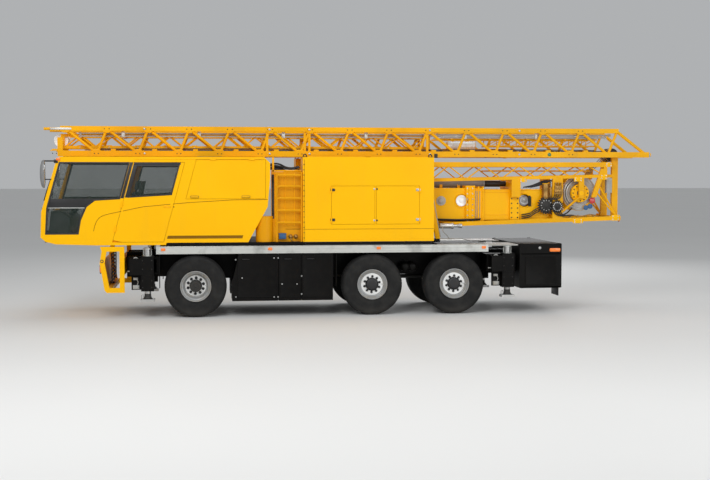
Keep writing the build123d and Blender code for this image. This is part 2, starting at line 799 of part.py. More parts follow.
def mirrors():
    """A tall mirror at each front corner, on its arm."""
    front, top = cab_front_x + mirror_setback, mirror_z[1]
    outer = body_half_width + mirror_reach
    head = block(front, front + mirror_thickness, -outer, -outer + mirror_width, *mirror_z)
    arm_y = body_half_width + mirror_arm_size
    arm_top = top - mirror_arm_size
    arm_front = front + mirror_thickness - 20
    arm_rear = arm_front + mirror_arm_length
    arm = block(arm_front, arm_rear, -arm_y, -arm_y + 40, arm_top - mirror_arm_size, arm_top)
    foot = block(arm_rear - mirror_arm_size, arm_rear, -arm_y, -body_half_width,
                 arm_top - mirror_arm_size, arm_top)
    return both_sides(joined([head, arm, foot]))


def hood_outline(inset):
    front, rear = cab_rear_top_x + inset * 1.05, hood_rear_x - inset
    low, high = platform_top_z + inset, body_top_z - inset
    foot = hood_foot_x - inset
    return [(seam_x(front, low), low), (seam_x(front, high), high), (rear - 130, high),
            (rear, high - 120), (rear, hood_shoulder_z), (rear - 52, hood_waist_z), (foot, low)]


def hatch_outline(gap):
    low, high = hatch_bottom_z + gap, hatch_top_z - gap
    front, rear = hatch_front_x + gap, hatch_rear_x - gap
    return [(seam_x(front, low), low), (seam_x(front, high), high), (rear, high),
            (rear - 10, low)]


def hood():
    """The closed body behind the cab, open where its two side hatches lie."""
    inner = body_half_width - hood_wall
    body = flat(hood_outline(0), -body_half_width, body_half_width)
    body -= flat(hood_outline(hood_wall), -inner, inner)
    body -= flat(hatch_outline(0), -body_half_width, body_half_width)
    return joined([body] + hatch_hinges(-1)[0] + hatch_hinges(1)[0])


def hatch(side):
    y0, y1 = beside(side, body_half_width - hatch_thickness, body_half_width)
    body = flat(hatch_outline(panel_gap), y0, y1)
    y0, y1 = beside(side, body_half_width, body_half_width + 22)
    for x in hatch_handle_x:
        body += block(x - 80, x + 80, y0, y1, hatch_bottom_z + 30, hatch_bottom_z + 60)
    return joined([body] + hatch_hinges(side)[1])


def engine_block():
    long, wide, high = engine_size
    floor = platform_top_z + hood_wall
    return block(engine_x - long / 2, engine_x + long / 2, -wide / 2, wide / 2,
                 floor, floor + high)


def ladder_bay():
    """The recessed wall between hood and housing with its ladder and the corner column."""
    wall_y = body_half_width - ladder_wall_inset
    pieces = [block(hood_rear_x + 30, housing_front_x, -wall_y, -wall_y + ladder_wall_thickness,
                    platform_top_z, ladder_top_z)]
    rail_y = -body_half_width + ladder_inset
    for x in (ladder_front_x, ladder_rear_x):
        pieces.append(rod_z(x, rail_y, platform_top_z, ladder_top_z, ladder_tube))
        for z in ladder_stay_z:
            pieces.append(rod_y(x, rail_y, -wall_y + 10, z, rung_diameter))
    for z in rung_z:
        pieces.append(rod_x(ladder_front_x, ladder_rear_x, rail_y, z, rung_diameter))
    column = rod_z(corner_x, corner_inset - body_half_width, platform_top_z, corner_top_z,
                   corner_diameter)
    front = hood_foot_x - 500
    hood_foot = flat([(front, platform_top_z), (hood_foot_x, platform_top_z),
                      (hood_rear_x - 52, hood_waist_z), (front, hood_waist_z)],
                     -body_half_width, 0)
    return [joined(pieces), column - hood_foot]


def housing(side):
    """A hollow side box beside the mast; the left one has two door openings."""
    y0, y1 = beside(side, housing_inner_y, body_half_width)
    body = block(housing_front_x, housing_rear_x, y0, y1, platform_top_z, body_top_z)
    wall = housing_wall
    body -= block(housing_front_x + wall, housing_rear_x - wall, y0 + wall, y1 - wall,
                  platform_top_z + wall, body_top_z - wall)
    if side < 0:
        for front, rear in ((door_front_x, door_split_x), (door_split_x, door_rear_x)):
            margin = 0 if front == door_front_x else 14
            body -= block(front + margin, rear - (14 - margin), y0, y0 + wall,
                          door_bottom_z, door_top_z)
        hinges = housing_door_hinges(door_front_x, 1)[0] + housing_door_hinges(door_rear_x, -1)[0]
        body = joined([body] + hinges)
    return body


def housing_door(front, rear):
    gap = panel_gap
    front_x = front + gap if front == door_front_x else front + 14 + gap
    rear_x = rear - gap if rear == door_rear_x else rear - 14 - gap
    body = block(front_x, rear_x, -body_half_width, -body_half_width + housing_wall,
                 door_bottom_z + gap, door_top_z - gap)
    at_front = front == door_front_x
    hinges = housing_door_hinges(front if at_front else rear, 1 if at_front else -1)
    return joined([body] + hinges[1])


# ---- Mast -----------------------------------------------------------------------------------
def square_tube(x0, x1, width, height, wall):
    """A tube along X around the mast's axis."""
    half_y, half_z = width / 2, height / 2
    outer = block(x0, x1, -half_y, half_y, mast_z - half_z, mast_z + half_z)
    return outer - block(x0, x1, -half_y + wall, half_y - wall,
                         mast_z - half_z + wall, mast_z + half_z - wall)


inner_mast_size = mast_size - 2 * mast_wall - 2 * mast_slide_fit


def ring_x(x, length, width, height, z):
    """A collar of the mast, cut to slide over the inner tube."""
    clear = mast_size / 2 - mast_wall
    ring = block(x, x + length, -width / 2, width / 2, z - height / 2, z + height / 2)
    return ring - block(x, x + length, -clear, clear, mast_z - clear, mast_z + clear)


def mast_outer():
    """The hinged mast tube with its pins, its collars and the barrel of the extending ram."""
    wall = mast_wall
    body = square_tube(mast_hinge_x - mast_heel, mast_end_x, mast_size, mast_size, wall)
    body += ring_x(mast_collar_x, mast_collar_length, *mast_collar_size, mast_z)
    for x in mast_rib_x:
        body += ring_x(x, mast_rib_thickness, mast_rib_size, mast_rib_size, mast_z)
    reach = mast_cheek_y + mast_cheek_thickness
    for side in (-1, 1):
        y0, y1 = beside(side, mast_size / 2 - wall, reach)
        body += rod_y(mast_hinge_x, y0, y1, mast_z, mast_pin_diameter)
    top = mast_z + mast_size / 2
    for x in ram_stand_x:
        body += block(x - 30, x + 30, -ram_diameter / 2, ram_diameter / 2, top - 5, ram_z)
    body += rod_x(mast_hinge_x + 700, ram_rear_x, 0, ram_z, ram_diameter)
    body -= rod_x(mast_hinge_x + 760, ram_rear_x, 0, ram_z, ram_bore + 2 * pin_fit)
    return body - rod_y(mast_window_x[0], -road_height, road_height, mast_window_z,
                        mast_window_diameter)


def mast_inner():
    """The sliding mast tube with its collar, the head block, the ram's rod and a side drive."""
    size = inner_mast_size
    body = square_tube(inner_mast_front_x, inner_mast_rear_x, size, size, mast_wall)
    wide, end = inner_collar_width, inner_collar_x + inner_collar_length
    body += block(inner_collar_x, end, -wide / 2, wide / 2, *inner_collar_z)
    body -= rod_y(mast_window_x[1], -road_height, road_height, mast_window_z,
                  mast_window_diameter)
    body += block(inner_mast_rear_x, inner_mast_rear_x + head_block_length, -tail_inner_y,
                  tail_inner_y, mast_z - size / 2, mast_z + size / 2)
    body += rod_x(mast_hinge_x + 800, inner_collar_x + 20, 0, ram_z, ram_bore)
    wall_y = size / 2 - 5
    x, motor_y = swing_drive_x, swing_drive_reach - swing_motor_diameter / 2
    body += rod_y(x, -swing_drive_reach, -wall_y, swing_drive_z, swing_drive_diameter)
    body += rod_z(x, -motor_y, swing_drive_z, swing_motor_top_z, swing_motor_diameter)
    return body + block(x - 30, x + 30, -motor_y, -wall_y, swing_drive_z, mast_z + size / 2 - 60)


def tail_rail(front_x, rear_x, ends, height):
    """One sloping rail of the tail frame's left side; ends gives its lower edge at each end."""
    front_z, rear_z = ends
    return flat([(front_x, front_z), (rear_x, rear_z), (rear_x, rear_z + height),
                 (front_x, front_z + height)], -tail_inner_y - tail_bar, -tail_inner_y)


def tail_frame():
    """The frame behind the mast's head: side rails and lattice, posts and cross tubes."""
    inner, outer = tail_inner_y, tail_inner_y + tail_bar
    left = (-outer, -inner)
    middle = -(inner + outer) / 2
    low_rear, mid_front, mid_rear = tail_low_z[1], tail_mid_z[0], tail_mid_z[1]
    mid_top = mid_rear + tail_mid_height
    high_top = tail_high_z + tail_high_height
    head_x0, head_x1 = inner_mast_rear_x, inner_mast_rear_x + head_block_length
    head_low = tail_low_z[0] + tail_low_height / 2
    side = [tail_rail(tail_low_front_x, tail_low_rear_x, tail_low_z, tail_low_height),
            tail_rail(tail_front_x, tail_mid_rear_x, tail_mid_z, tail_mid_height),
            tail_rail(tail_front_x, tail_high_rear_x, (tail_high_z, tail_high_z),
                      tail_high_height),
            block(head_x0, head_x1, *left, low_rear, mid_rear),
            block(tail_front_x, tail_front_x + 60, *left, mid_front, high_top - 40),
            block(tail_mid_rear_x - 80, tail_mid_rear_x, *left, mid_rear, high_top - 40),
            block(winch_x - 60, winch_x + 60, *left, winch_z - 110, mid_rear + 20),
            block(inner_collar_x, inner_collar_x + inner_collar_length, -outer,
                  -inner_collar_width / 2, head_low + 600, mid_front + 60)]
    span = tail_mid_rear_x - tail_front_x - 60
    count = int(span // tail_brace_pitch)
    step = span / count
    rise = (mid_rear - mid_front) / count
    for number in range(count):
        start = tail_front_x + 30 + number * step
        low = mid_front + number * rise + tail_mid_height / 2
        ends = (low, tail_high_z + 20)
        if number % 2:
            ends = ends[::-1]
        side.append(strut((start, ends[0]), (start + step, ends[1]), middle, tail_brace_width))
    (top_x, top_z), (foot_x, foot_z) = slant_bar
    side.append(flat([(top_x - slant_width, top_z), (top_x, top_z), (foot_x + 40, foot_z),
                      (foot_x - slant_width + 40, foot_z)], *left))
    for head in fan_heads:
        side.append(strut(head, fan_foot, middle, fan_diameter))
    side.append(strut((head_x1 - 40, mast_z - 200), (winch_x, winch_z - 60), middle, 50))
    post = block(post_front_x, post_front_x + post_length, -post_inner_y - post_width,
                 -post_inner_y, low_rear, jib_bottom_z + jib_low_height)
    stub = block(tail_mid_rear_x - 60, post_front_x + 20, -post_inner_y - post_width,
                 -post_inner_y, mid_rear, mid_top)
    hinge_z = jib_bottom_z + jib_low_height / 2
    pin = rod_y(jib_hinge_x, -jib_half_width, -post_inner_y, hinge_z, jib_hinge_pin)
    left_side = joined(side + [post, stub, pin])
    cross = [block(post_front_x + 20, post_front_x + 100, -outer, outer, low_rear,
                   low_rear + tail_low_height),
             block(tail_mid_rear_x - 80, tail_mid_rear_x, -outer, outer, mid_rear, mid_top),
             block(tail_front_x, tail_front_x + 60, -outer, outer, tail_high_z,
                   tail_high_z + 60)]
    cross.append(rod_y(jib_hinge_x, -post_inner_y, post_inner_y, hinge_z, jib_hinge_pin))
    half = rope_sheave_thickness / 2
    for y in rope_sheave_y:
        cross.append(rod_y(jib_hinge_x, y - half, y + half, hinge_z, rope_sheave_diameter))
    body = joined(both_sides(left_side) + cross)
    return body - rod_y(winch_x, -road_height, road_height, winch_z,
                        winch_shaft_diameter + 2 * pin_fit)


def winch():
    """The drum with its flanges, motor ends and shaft."""
    reach = tail_inner_y + tail_bar
    body = rod_y(winch_x, -reach, reach, winch_z, winch_shaft_diameter)
    body += rod_y(winch_x, -winch_half_width, winch_half_width, winch_z, winch_drum_diameter)
    for side in (-1, 1):
        y0, y1 = beside(side, winch_half_width, winch_half_width + winch_flange_thickness)
        body += rod_y(winch_x, y0, y1, winch_z, winch_flange_diameter)
        y0, y1 = beside(side, winch_half_width, winch_motor_y)
        body += rod_y(winch_x, y0, y1, winch_z, winch_motor_diameter)
    return body


# ---- Jib ------------------------------------------------------------------------------------
def jib_side(side):
    """One side truss of the jib: two chords, the zigzag lacing, posts, nose and tip bar."""
    y0, y1 = beside(side, jib_half_width - jib_chord, jib_half_width)
    middle = (y0 + y1) / 2
    low_top = jib_bottom_z + jib_low_height
    low_axis, high_axis = jib_bottom_z + jib_low_height / 2, jib_top_z + jib_chord / 2
    bar_z = road_height - jib_bar_diameter
    cap_diameter, cap_reach = jib_cap
    pieces = [block(jib_front_x, jib_nose_x, y0, y1, jib_bottom_z, low_top),
              block(jib_top_front_x, jib_top_rear_x, y0, y1, jib_top_z, road_height),
              rod_x(jib_front_x - jib_bar_reach, jib_top_front_x + 40, middle, bar_z,
                    jib_bar_diameter),
              rod_x(jib_nose_x - 20, jib_nose_x + cap_reach, middle, low_axis, cap_diameter)]
    for number in range(jib_bay_count):
        top_x = jib_first_node_x - number * jib_bay
        foot_x = top_x - jib_foot_lead
        for start in (top_x, top_x - jib_bay):
            pieces.append(strut((start, high_axis), (foot_x, low_axis), middle, jib_lacing))
    pieces.append(strut((jib_top_rear_x - 40, high_axis), (jib_nose_x - 60, low_axis), middle,
                        jib_lacing + 10))
    half = jib_post_width / 2
    for x in jib_post_x:
        pieces.append(block(x - half, x + half, middle - half, middle + half, low_axis, high_axis))
    pieces.append(block(jib_front_x, jib_front_x + 110, y0, y1, low_axis, tip_pivot_z + 60))
    y2, y3 = beside(side, jib_half_width - jib_chord - jib_ledge, jib_half_width - jib_chord)
    pieces.append(block(jib_front_x, jib_hinge_x - 400, y2, y3, jib_bottom_z,
                        jib_bottom_z + jib_ledge_thickness))
    body = joined(pieces)
    reach = 2 * jib_half_width
    body -= rod_y(jib_hinge_x, -reach, reach, low_axis, jib_hinge_pin + 2 * pin_fit)
    return body - rod_y(tip_pivot_x, -reach, reach, tip_pivot_z,
                        tip_pivot_diameter + 2 * pin_fit)


def jib_ties():
    """The flat bars that tie the side trusses together; two carry the hoist motor's seat."""
    low = jib_bottom_z + jib_low_height
    high = low + jib_tie_thickness
    front, rear = hoist_motor_x
    ties = []
    seated = []
    for number in range(1, jib_bay_count):
        x = jib_first_node_x - number * jib_bay + jib_tie_shift
        tie = block(x - 50, x + 50, -jib_half_width, jib_half_width, low, high)
        near_motor = front - jib_bay / 2 < x < rear + jib_bay
        (seated if near_motor else ties).append(tie)
    seat_front = front - 100
    seat_rear = max(tie.bounding_box().max.X for tie in seated)
    seat = block(seat_front, seat_rear, -60, 60, low, high + 40)
    motor = rod_x(front, rear, 0, high + hoist_motor_diameter / 2, hoist_motor_diameter)
    return ties + [joined(seated + [seat, motor])]


def jib_tip():
    """The folded tip inside the jib: a small box truss on its pivot tube."""
    outer, inner = tip_half_width, tip_half_width - tip_chord
    left = (-outer, -inner)
    top = tip_bottom_z + tip_height
    side = [block(tip_pivot_x, tip_rear_x, *left, tip_bottom_z, tip_bottom_z + tip_chord),
            block(tip_pivot_x, tip_rear_x, *left, top - tip_chord, top),
            block(tip_pivot_x, tip_pivot_x + 80, *left, tip_bottom_z, top),
            block(tip_rear_x - 60, tip_rear_x, *left, tip_bottom_z, top)]
    span = tip_rear_x - tip_pivot_x - 140
    count = int(span // (tip_bay / 2))
    step = span / count
    middle = -(outer + inner) / 2
    for number in range(count):
        start = tip_pivot_x + 80 + number * step
        ends = [tip_bottom_z + tip_chord / 2, top - tip_chord / 2]
        if number % 2:
            ends.reverse()
        side.append(strut((start, ends[0]), (start + step, ends[1]), middle, tip_lacing))
    pieces = both_sides(joined(side))
    for number in range(0, count + 1, 4):
        x = tip_pivot_x + 80 + number * step
        for z in (tip_bottom_z, top - tip_chord):
            pieces.append(block(x - 20, x + 20, -inner, inner, z + 10, z + tip_chord - 10))
    pieces.append(rod_y(tip_pivot_x, -inner, inner, tip_pivot_z, 110))
    half = tip_sheave_thickness / 2
    for y in tip_sheave_y:
        pieces.append(rod_y(tip_pivot_x, y - half, y + half, tip_pivot_z, tip_sheave_diameter))
    pieces.append(rod_y(tip_pivot_x, -jib_half_width, jib_half_width, tip_pivot_z,
                        tip_pivot_diameter))
    return joined(pieces)


def trolley():
    """A low carriage whose wheels run on the ledges of the jib's lower chords."""
    ledge_top = jib_bottom_z + jib_ledge_thickness
    wheel_axis = ledge_top + seat_gap + trolley_wheel_diameter / 2
    ledge_y = jib_half_width - jib_chord - jib_ledge / 2
    low, high = ledge_top + 4, ledge_top + 4 + trolley_frame_height
    front, rear = trolley_front_x, trolley_front_x + trolley_length
    frame_y = ledge_y - trolley_wheel_width / 2 - 6
    pieces = [block(front, rear, -frame_y, -frame_y + 50, low, high),
              block(front, rear, frame_y - 50, frame_y, low, high),
              block(front, front + 60, -frame_y, frame_y, low, high),
              block(rear - 60, rear, -frame_y, frame_y, low, high),
              block(front + 250, rear - 250, -frame_y, frame_y, low + 8, high - 8)]
    for x in (front + 90, rear - 90):
        for side in (-1, 1):
            y0, y1 = beside(side, frame_y - 5, ledge_y + trolley_wheel_width / 2)
            pieces.append(rod_y(x, y0, y1, wheel_axis, 24))
            y0, y1 = beside(side, ledge_y - trolley_wheel_width / 2,
                            ledge_y + trolley_wheel_width / 2)
            pieces.append(rod_y(x, y0, y1, wheel_axis, trolley_wheel_diameter))
    return joined(pieces)


# ---- The pieces -----------------------------------------------------------------------------
sides = {"left": -1, "right": 1}


def all_pieces():
    """Every piece by its name; a list is several solids that don't touch."""
    pieces = {
        "chassis": chassis(), "deck_rails": deck_rails(), "bumper": bumper(),
        "lockers": lockers(), "axles": axles(), "platform": platform(),
        "cab_shell": cab_shell(), "cab_glass": cab_glass(), "cab_door": cab_door(),
        "cab_door_glass": cab_door_glass(), "cab_interior": cab_interior(),
        "mirrors": mirrors(), "hood": hood(), "engine_block": engine_block(),
        "ladder_bay": ladder_bay(), "mast_outer": mast_outer(), "mast_inner": mast_inner(),
        "tail_frame": tail_frame(), "winch": winch(), "jib_ties": jib_ties(),
        "jib_tip": jib_tip(), "trolley": trolley(),
        "housing_door_front": housing_door(door_front_x, door_split_x),
        "housing_door_rear": housing_door(door_split_x, door_rear_x),
    }
    for name, side in sides.items():
        pieces[f"hatch_{name}"] = hatch(side)
        pieces[f"housing_{name}"] = housing(side)
        pieces[f"jib_{name}"] = jib_side(side)
        for end, x in zip(("front", "rear"), outrigger_x):
            pieces[f"outrigger_beam_{end}_{name}"] = outrigger_beam(x, side)
            pieces[f"jack_{end}_{name}"] = jack(x, side)
        for number, x in enumerate(axle_x, 1):
            disc_offset = front_disc_offset if number == 1 else rear_disc_offset
            pieces[f"knuckle_{number}_{name}"] = knuckle(x, side)
            pieces[f"rim_{number}_{name}"] = rim(x, side, disc_offset)
            pieces[f"tyre_{number}_{name}"] = tyre(x, side)
    return pieces


def write(name, piece):
    shapes = piece if isinstance(piece, list) else [piece]
    solids = [solid for shape in shapes for solid in shape.solids()]
    whole = solids[0] if len(solids) == 1 else Compound(solids)
    export_step(whole, f"parts/{name}.step")


os.makedirs("parts", exist_ok=True)
for piece_name, piece_shape in all_pieces().items():
    write(piece_name, piece_shape)
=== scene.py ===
"""Looks for the folding mobile tower crane: finishes for every piece, and the fittings that are
too fine for the frame. X runs to the rear, the left side is at -Y, Z is up, sizes in metres."""

import math

import bmesh
import bpy
from mathutils import Matrix, Vector


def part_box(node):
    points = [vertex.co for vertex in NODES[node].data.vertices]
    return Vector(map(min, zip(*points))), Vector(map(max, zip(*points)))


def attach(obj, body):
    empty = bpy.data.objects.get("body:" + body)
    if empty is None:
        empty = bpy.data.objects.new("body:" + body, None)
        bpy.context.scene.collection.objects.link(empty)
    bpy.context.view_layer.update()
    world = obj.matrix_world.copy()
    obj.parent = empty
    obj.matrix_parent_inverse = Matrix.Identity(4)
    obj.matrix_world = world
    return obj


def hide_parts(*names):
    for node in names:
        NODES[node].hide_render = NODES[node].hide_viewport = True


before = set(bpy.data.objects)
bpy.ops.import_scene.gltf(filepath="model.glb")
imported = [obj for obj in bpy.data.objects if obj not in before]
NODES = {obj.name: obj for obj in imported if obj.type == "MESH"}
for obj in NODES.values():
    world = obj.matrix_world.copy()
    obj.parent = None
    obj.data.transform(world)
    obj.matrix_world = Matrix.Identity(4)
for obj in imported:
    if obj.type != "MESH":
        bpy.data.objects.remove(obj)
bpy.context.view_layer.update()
SIDES = {"left": -1, "right": 1}


# ---- Shader maths -----------------------------------------------------------------------------
class Wire:
    """A socket to reckon with: an expression adds Math nodes, and node() adds any other one."""

    def __init__(self, tree, socket):
        self.tree = tree
        self.socket = socket

    def node(self, kind, settings=None, out=0, **sockets):
        made = self.tree.nodes.new(kind)
        for name, value in (settings or {}).items():
            if name == "stops":
                ramp = made.color_ramp.elements
                while len(ramp) < len(value):
                    ramp.new(0.5)
                for stop, (place, colour) in zip(ramp, value):
                    stop.position, stop.color = place, (*colour, 1)
            else:
                setattr(made, name, value)
        for name, value in sockets.items():
            socket = made.inputs[int(name[1:]) if name[1:].isdigit() else name.replace("_", " ")]
            if isinstance(value, Wire):
                self.tree.links.new(value.socket, socket)
            else:
                socket.default_value = value
        return Wire(self.tree, made.outputs[out])

    def maths(self, operation, first, second):
        return self.node("ShaderNodeMath", {"operation": operation}, n0=first, n1=second)

    def __add__(self, other):
        return self.maths("ADD", self, other)

    def __radd__(self, other):
        return self.maths("ADD", other, self)

    def __sub__(self, other):
        return self.maths("SUBTRACT", self, other)

    def __rsub__(self, other):
        return self.maths("SUBTRACT", other, self)

    def __mul__(self, other):
        return self.maths("MULTIPLY", self, other)

    def __rmul__(self, other):
        return self.maths("MULTIPLY", other, self)

    def ramp(self, low, high):
        """0 below low, 1 above high, smooth in between."""
        return self.node("ShaderNodeMapRange", {"interpolation_type": "SMOOTHSTEP"}, n0=self,
                         n1=low, n2=high)


def new_material(name):
    """An empty material: its tree's wire, its coordinates and its shader node."""
    material = bpy.data.materials.new(name)
    material.use_nodes = True
    tree = material.node_tree
    shader = tree.nodes["Principled BSDF"]
    wire = Wire(tree, None)
    place = wire.node("ShaderNodeTexCoord", out=3)
    return material, wire, place, shader


def feed(wire, shader, **links):
    """Links or sets the shader's sockets by name."""
    for name, value in links.items():
        socket = shader.inputs[name.replace("_", " ")]
        if isinstance(value, Wire):
            wire.tree.links.new(value.socket, socket)
        else:
            socket.default_value = value


def noise(wire, place, scale, detail=3.0, stretch=(1, 1, 1)):
    """Noise over the piece, stretched along its axes."""
    where = wire.node("ShaderNodeMapping", n0=place, n3=stretch)
    return wire.node("ShaderNodeTexNoise", Vector=where, Scale=scale, Detail=detail)


def mixed(wire, mask, first, second):
    """The first colour where the mask is 0 and the second where it is 1."""
    one = (*first, 1) if isinstance(first, tuple) else first
    two = (*second, 1) if isinstance(second, tuple) else second
    return wire.node("ShaderNodeMix", {"data_type": "RGBA"}, out=2, n0=mask, n6=one, n7=two)


def bumped(wire, height, strength, distance):
    return wire.node("ShaderNodeBump", Height=height, Strength=strength, Distance=distance)


def axis_of(wire, place, axis):
    """One coordinate of the place: 0, 1 or 2."""
    return wire.node("ShaderNodeSeparateXYZ", out=axis, n0=place)


# ---- Finishes ---------------------------------------------------------------------------------
def paint(name, colour, shade, roughness=0.3, coat=0.6, dirt=0.25, dust=(0.33, 0.27, 0.18),
          shine=0.5):
    """Sprayed paint: colour drift, run-down streaks, road dust low down and a fine peel."""
    material, wire, place, shader = new_material(name)
    drift = noise(wire, place, 0.7, 4.0).ramp(0.35, 0.7)
    streaks = noise(wire, place, 5.0, 5.0, (1.0, 1.0, 0.12)).ramp(0.52, 0.72)
    specks = noise(wire, place, 60.0, 2.0).ramp(0.66, 0.74)
    low = 1 - axis_of(wire, place, 2).ramp(0.5, 2.1)
    worn = streaks * dirt * 0.5 + specks * dirt * 0.35
    base = mixed(wire, drift * 0.5, colour, shade)
    patches = noise(wire, place, 9.0, 5.0).ramp(0.42, 0.7)
    base = mixed(wire, worn + low * patches * dirt, base, dust)
    peel = noise(wire, place, 220.0, 1.0)
    feed(wire, shader, Base_Color=base, Roughness=worn * 0.5 + roughness,
         Normal=bumped(wire, peel, 0.05, 0.002), Coat_Weight=coat, Coat_Roughness=0.12,
         Specular_IOR_Level=shine)
    return material


def bare_metal(name, colour, roughness, grain=(1, 1, 30), metallic=0.9):
    """Brushed or rolled metal with grain along one axis and dull stains."""
    material, wire, place, shader = new_material(name)
    lines = noise(wire, place, 40.0, 3.0, grain)
    stain = noise(wire, place, 3.0, 5.0).ramp(0.45, 0.75)
    dull = tuple(part * 0.55 for part in colour)
    feed(wire, shader, Base_Color=mixed(wire, stain * 0.7, colour, dull), Metallic=metallic,
         Roughness=lines * 0.25 + stain * 0.2 + roughness, Normal=bumped(wire, lines, 0.15, 0.002))
    return material


def tyre_rubber():
    """Dusty black rubber, greyer on the tread."""
    material, wire, place, shader = new_material("tyre_rubber")
    cloud = noise(wire, place, 6.0, 6.0).ramp(0.35, 0.75)
    grit = noise(wire, place, 120.0, 3.0)
    low = 1 - axis_of(wire, place, 2).ramp(0.0, 0.25)
    colour = mixed(wire, cloud * 0.7, (0.014, 0.014, 0.014), (0.03, 0.029, 0.027))
    colour = mixed(wire, low * 0.3, colour, (0.08, 0.072, 0.06))
    feed(wire, shader, Base_Color=colour, Roughness=grit * 0.3 + 0.6,
         Normal=bumped(wire, grit, 0.35, 0.004), Specular_IOR_Level=0.2)
    return material


def plastic(name, colour, roughness, grain=0.2, scale=160.0):
    """Moulded plastic or rubber trim with a leathery grain."""
    material, wire, place, shader = new_material(name)
    cells = wire.node("ShaderNodeTexVoronoi", Vector=place, Scale=scale)
    cloud = noise(wire, place, 4.0, 4.0).ramp(0.4, 0.8)
    pale = tuple(min(1.0, part * 1.5 + 0.01) for part in colour)
    feed(wire, shader, Base_Color=mixed(wire, cloud * 0.5, colour, pale),
         Roughness=cloud * 0.15 + roughness, Normal=bumped(wire, cells, grain, 0.003))
    return material


def tinted_glass():
    """Green-tinted safety glass with a trace of dust, seen through."""
    material, wire, place, shader = new_material("tinted_glass")
    haze = noise(wire, place, 2.5, 5.0).ramp(0.45, 0.8)
    feed(wire, shader, Base_Color=mixed(wire, haze * 0.3, (0.03, 0.05, 0.04), (0.12, 0.12, 0.1)),
         Roughness=haze * 0.1 + 0.03, Alpha=haze * 0.08 + 0.3, Coat_Weight=0.6,
         Coat_Roughness=0.03)
    return material


def lens(name, colour, glow=0.0):
    """A ribbed lamp lens."""
    material, wire, place, shader = new_material(name)
    ribs = wire.node("ShaderNodeTexWave", Vector=place, Scale=60.0)
    feed(wire, shader, Base_Color=mixed(wire, ribs, colour, tuple(part * 0.6 for part in colour)),
         Roughness=ribs * 0.1 + 0.08, Normal=bumped(wire, ribs, 0.4, 0.002), Coat_Weight=1.0,
         Emission_Color=(*colour, 1), Emission_Strength=glow)
    return material


FINISH = {
    "yellow": paint("yellow_paint", (1.0, 0.52, 0.0), (0.94, 0.46, 0.0), 0.42, 0.04, 0.07,
                    (0.33, 0.24, 0.06), 0.12),
    "jib_yellow": paint("jib_yellow", (0.93, 0.46, 0.0), (0.66, 0.29, 0.0), 0.45, 0.04, 0.25,
                        (0.3, 0.2, 0.06), 0.15),
    # painted shade: a darker orange for the ladder bay's recessed wall, which lies in shade
    "bay_painted_shade": paint("bay_painted_shade", (0.76, 0.33, 0.0), (0.66, 0.27, 0.0), 0.45, 0.03, 0.15,
                        (0.3, 0.2, 0.06), 0.15),
    # painted shade: a dark brown yellow that stands for the shade along creases, in seams and
    # gaps, and round the door's lock
    "painted_shade_yellow": paint("painted_shade_yellow", (0.26, 0.12, 0.0), (0.2, 0.09, 0.0), 0.5, 0.02, 0.2,
                          (0.2, 0.14, 0.05), 0.15),
    "black": paint("black_paint", (0.0035, 0.0032, 0.003), (0.006, 0.0055, 0.005), 0.45, 0.02,
                   0.12, (0.02, 0.018, 0.015), 0.1),
    "pale": paint("pale_paint", (0.42, 0.42, 0.4), (0.3, 0.3, 0.29), 0.4, 0.2, 0.4),
    "rim": paint("rim_silver", (0.36, 0.37, 0.37), (0.22, 0.22, 0.22), 0.35, 0.3, 0.4),
    "disc": bare_metal("disc_silver", (0.86, 0.87, 0.86), 0.32, (1, 1, 1), 0.55),
    "aluminium": bare_metal("rail_aluminium", (0.62, 0.63, 0.6), 0.35, (0.3, 8, 40)),
    "steel": bare_metal("jack_steel", (0.55, 0.55, 0.54), 0.22, (12, 12, 1)),
    "cast": bare_metal("dark_cast", (0.05, 0.048, 0.045), 0.5, (1, 1, 1), 0.6),
    "tyre": tyre_rubber(),
    "trim": plastic("black_trim", (0.012, 0.012, 0.013), 0.45),
    "seat": plastic("seat_cloth", (0.035, 0.036, 0.04), 0.8, 0.5, 90.0),
    "grey_plastic": plastic("grey_plastic", (0.2, 0.2, 0.2), 0.5),
    "glass": tinted_glass(),
    "orange_lens": lens("orange_lens", (0.9, 0.2, 0.01), 0.3),
    "red_lens": lens("red_lens", (0.6, 0.01, 0.01), 0.1),
    "green_lens": lens("green_lens", (0.02, 0.2, 0.08), 0.1),
    "clear_lens": lens("clear_lens", (0.75, 0.77, 0.78), 0.2),
    "brass": bare_metal("brass_fittings", (0.42, 0.24, 0.07), 0.3, (4, 4, 4)),
    "blue_cap": plastic("blue_cap", (0.02, 0.09, 0.22), 0.4),
    "rope": bare_metal("wire_rope", (0.24, 0.23, 0.21), 0.42, (20, 1, 20), 0.8),
    "mirror_glass": bare_metal("mirror_glass", (0.8, 0.82, 0.83), 0.02, (1, 1, 1), 1.0),
}

NODE_FINISH = (
    ("cab_glass", "glass"), ("cab_door_glass", "glass"), ("cab_interior", "seat"),
    ("chassis", "black"), ("platform", "black"), ("lockers", "black"), ("axles", "cast"),
    ("outrigger", "black"), ("jack", "steel"), ("knuckle", "cast"), ("rim", "rim"),
    ("tyre", "tyre"), ("deck_rails", "aluminium"), ("mirrors", "grey_plastic"),
    ("engine_block", "cast"), ("jib", "jib_yellow"), ("tail", "jib_yellow"),
    # the ladder bay takes the darker bay finish, painted shade in its recess
    ("trolley", "jib_yellow"), ("ladder_bay", "bay_painted_shade"), ("", "yellow"),
)


def finish_nodes():
    """Every frame piece gets its finish by the start of its name."""
    for name, node in NODES.items():
        finish = next(kind for start, kind in NODE_FINISH if name.startswith(start))
        finished(node, finish)


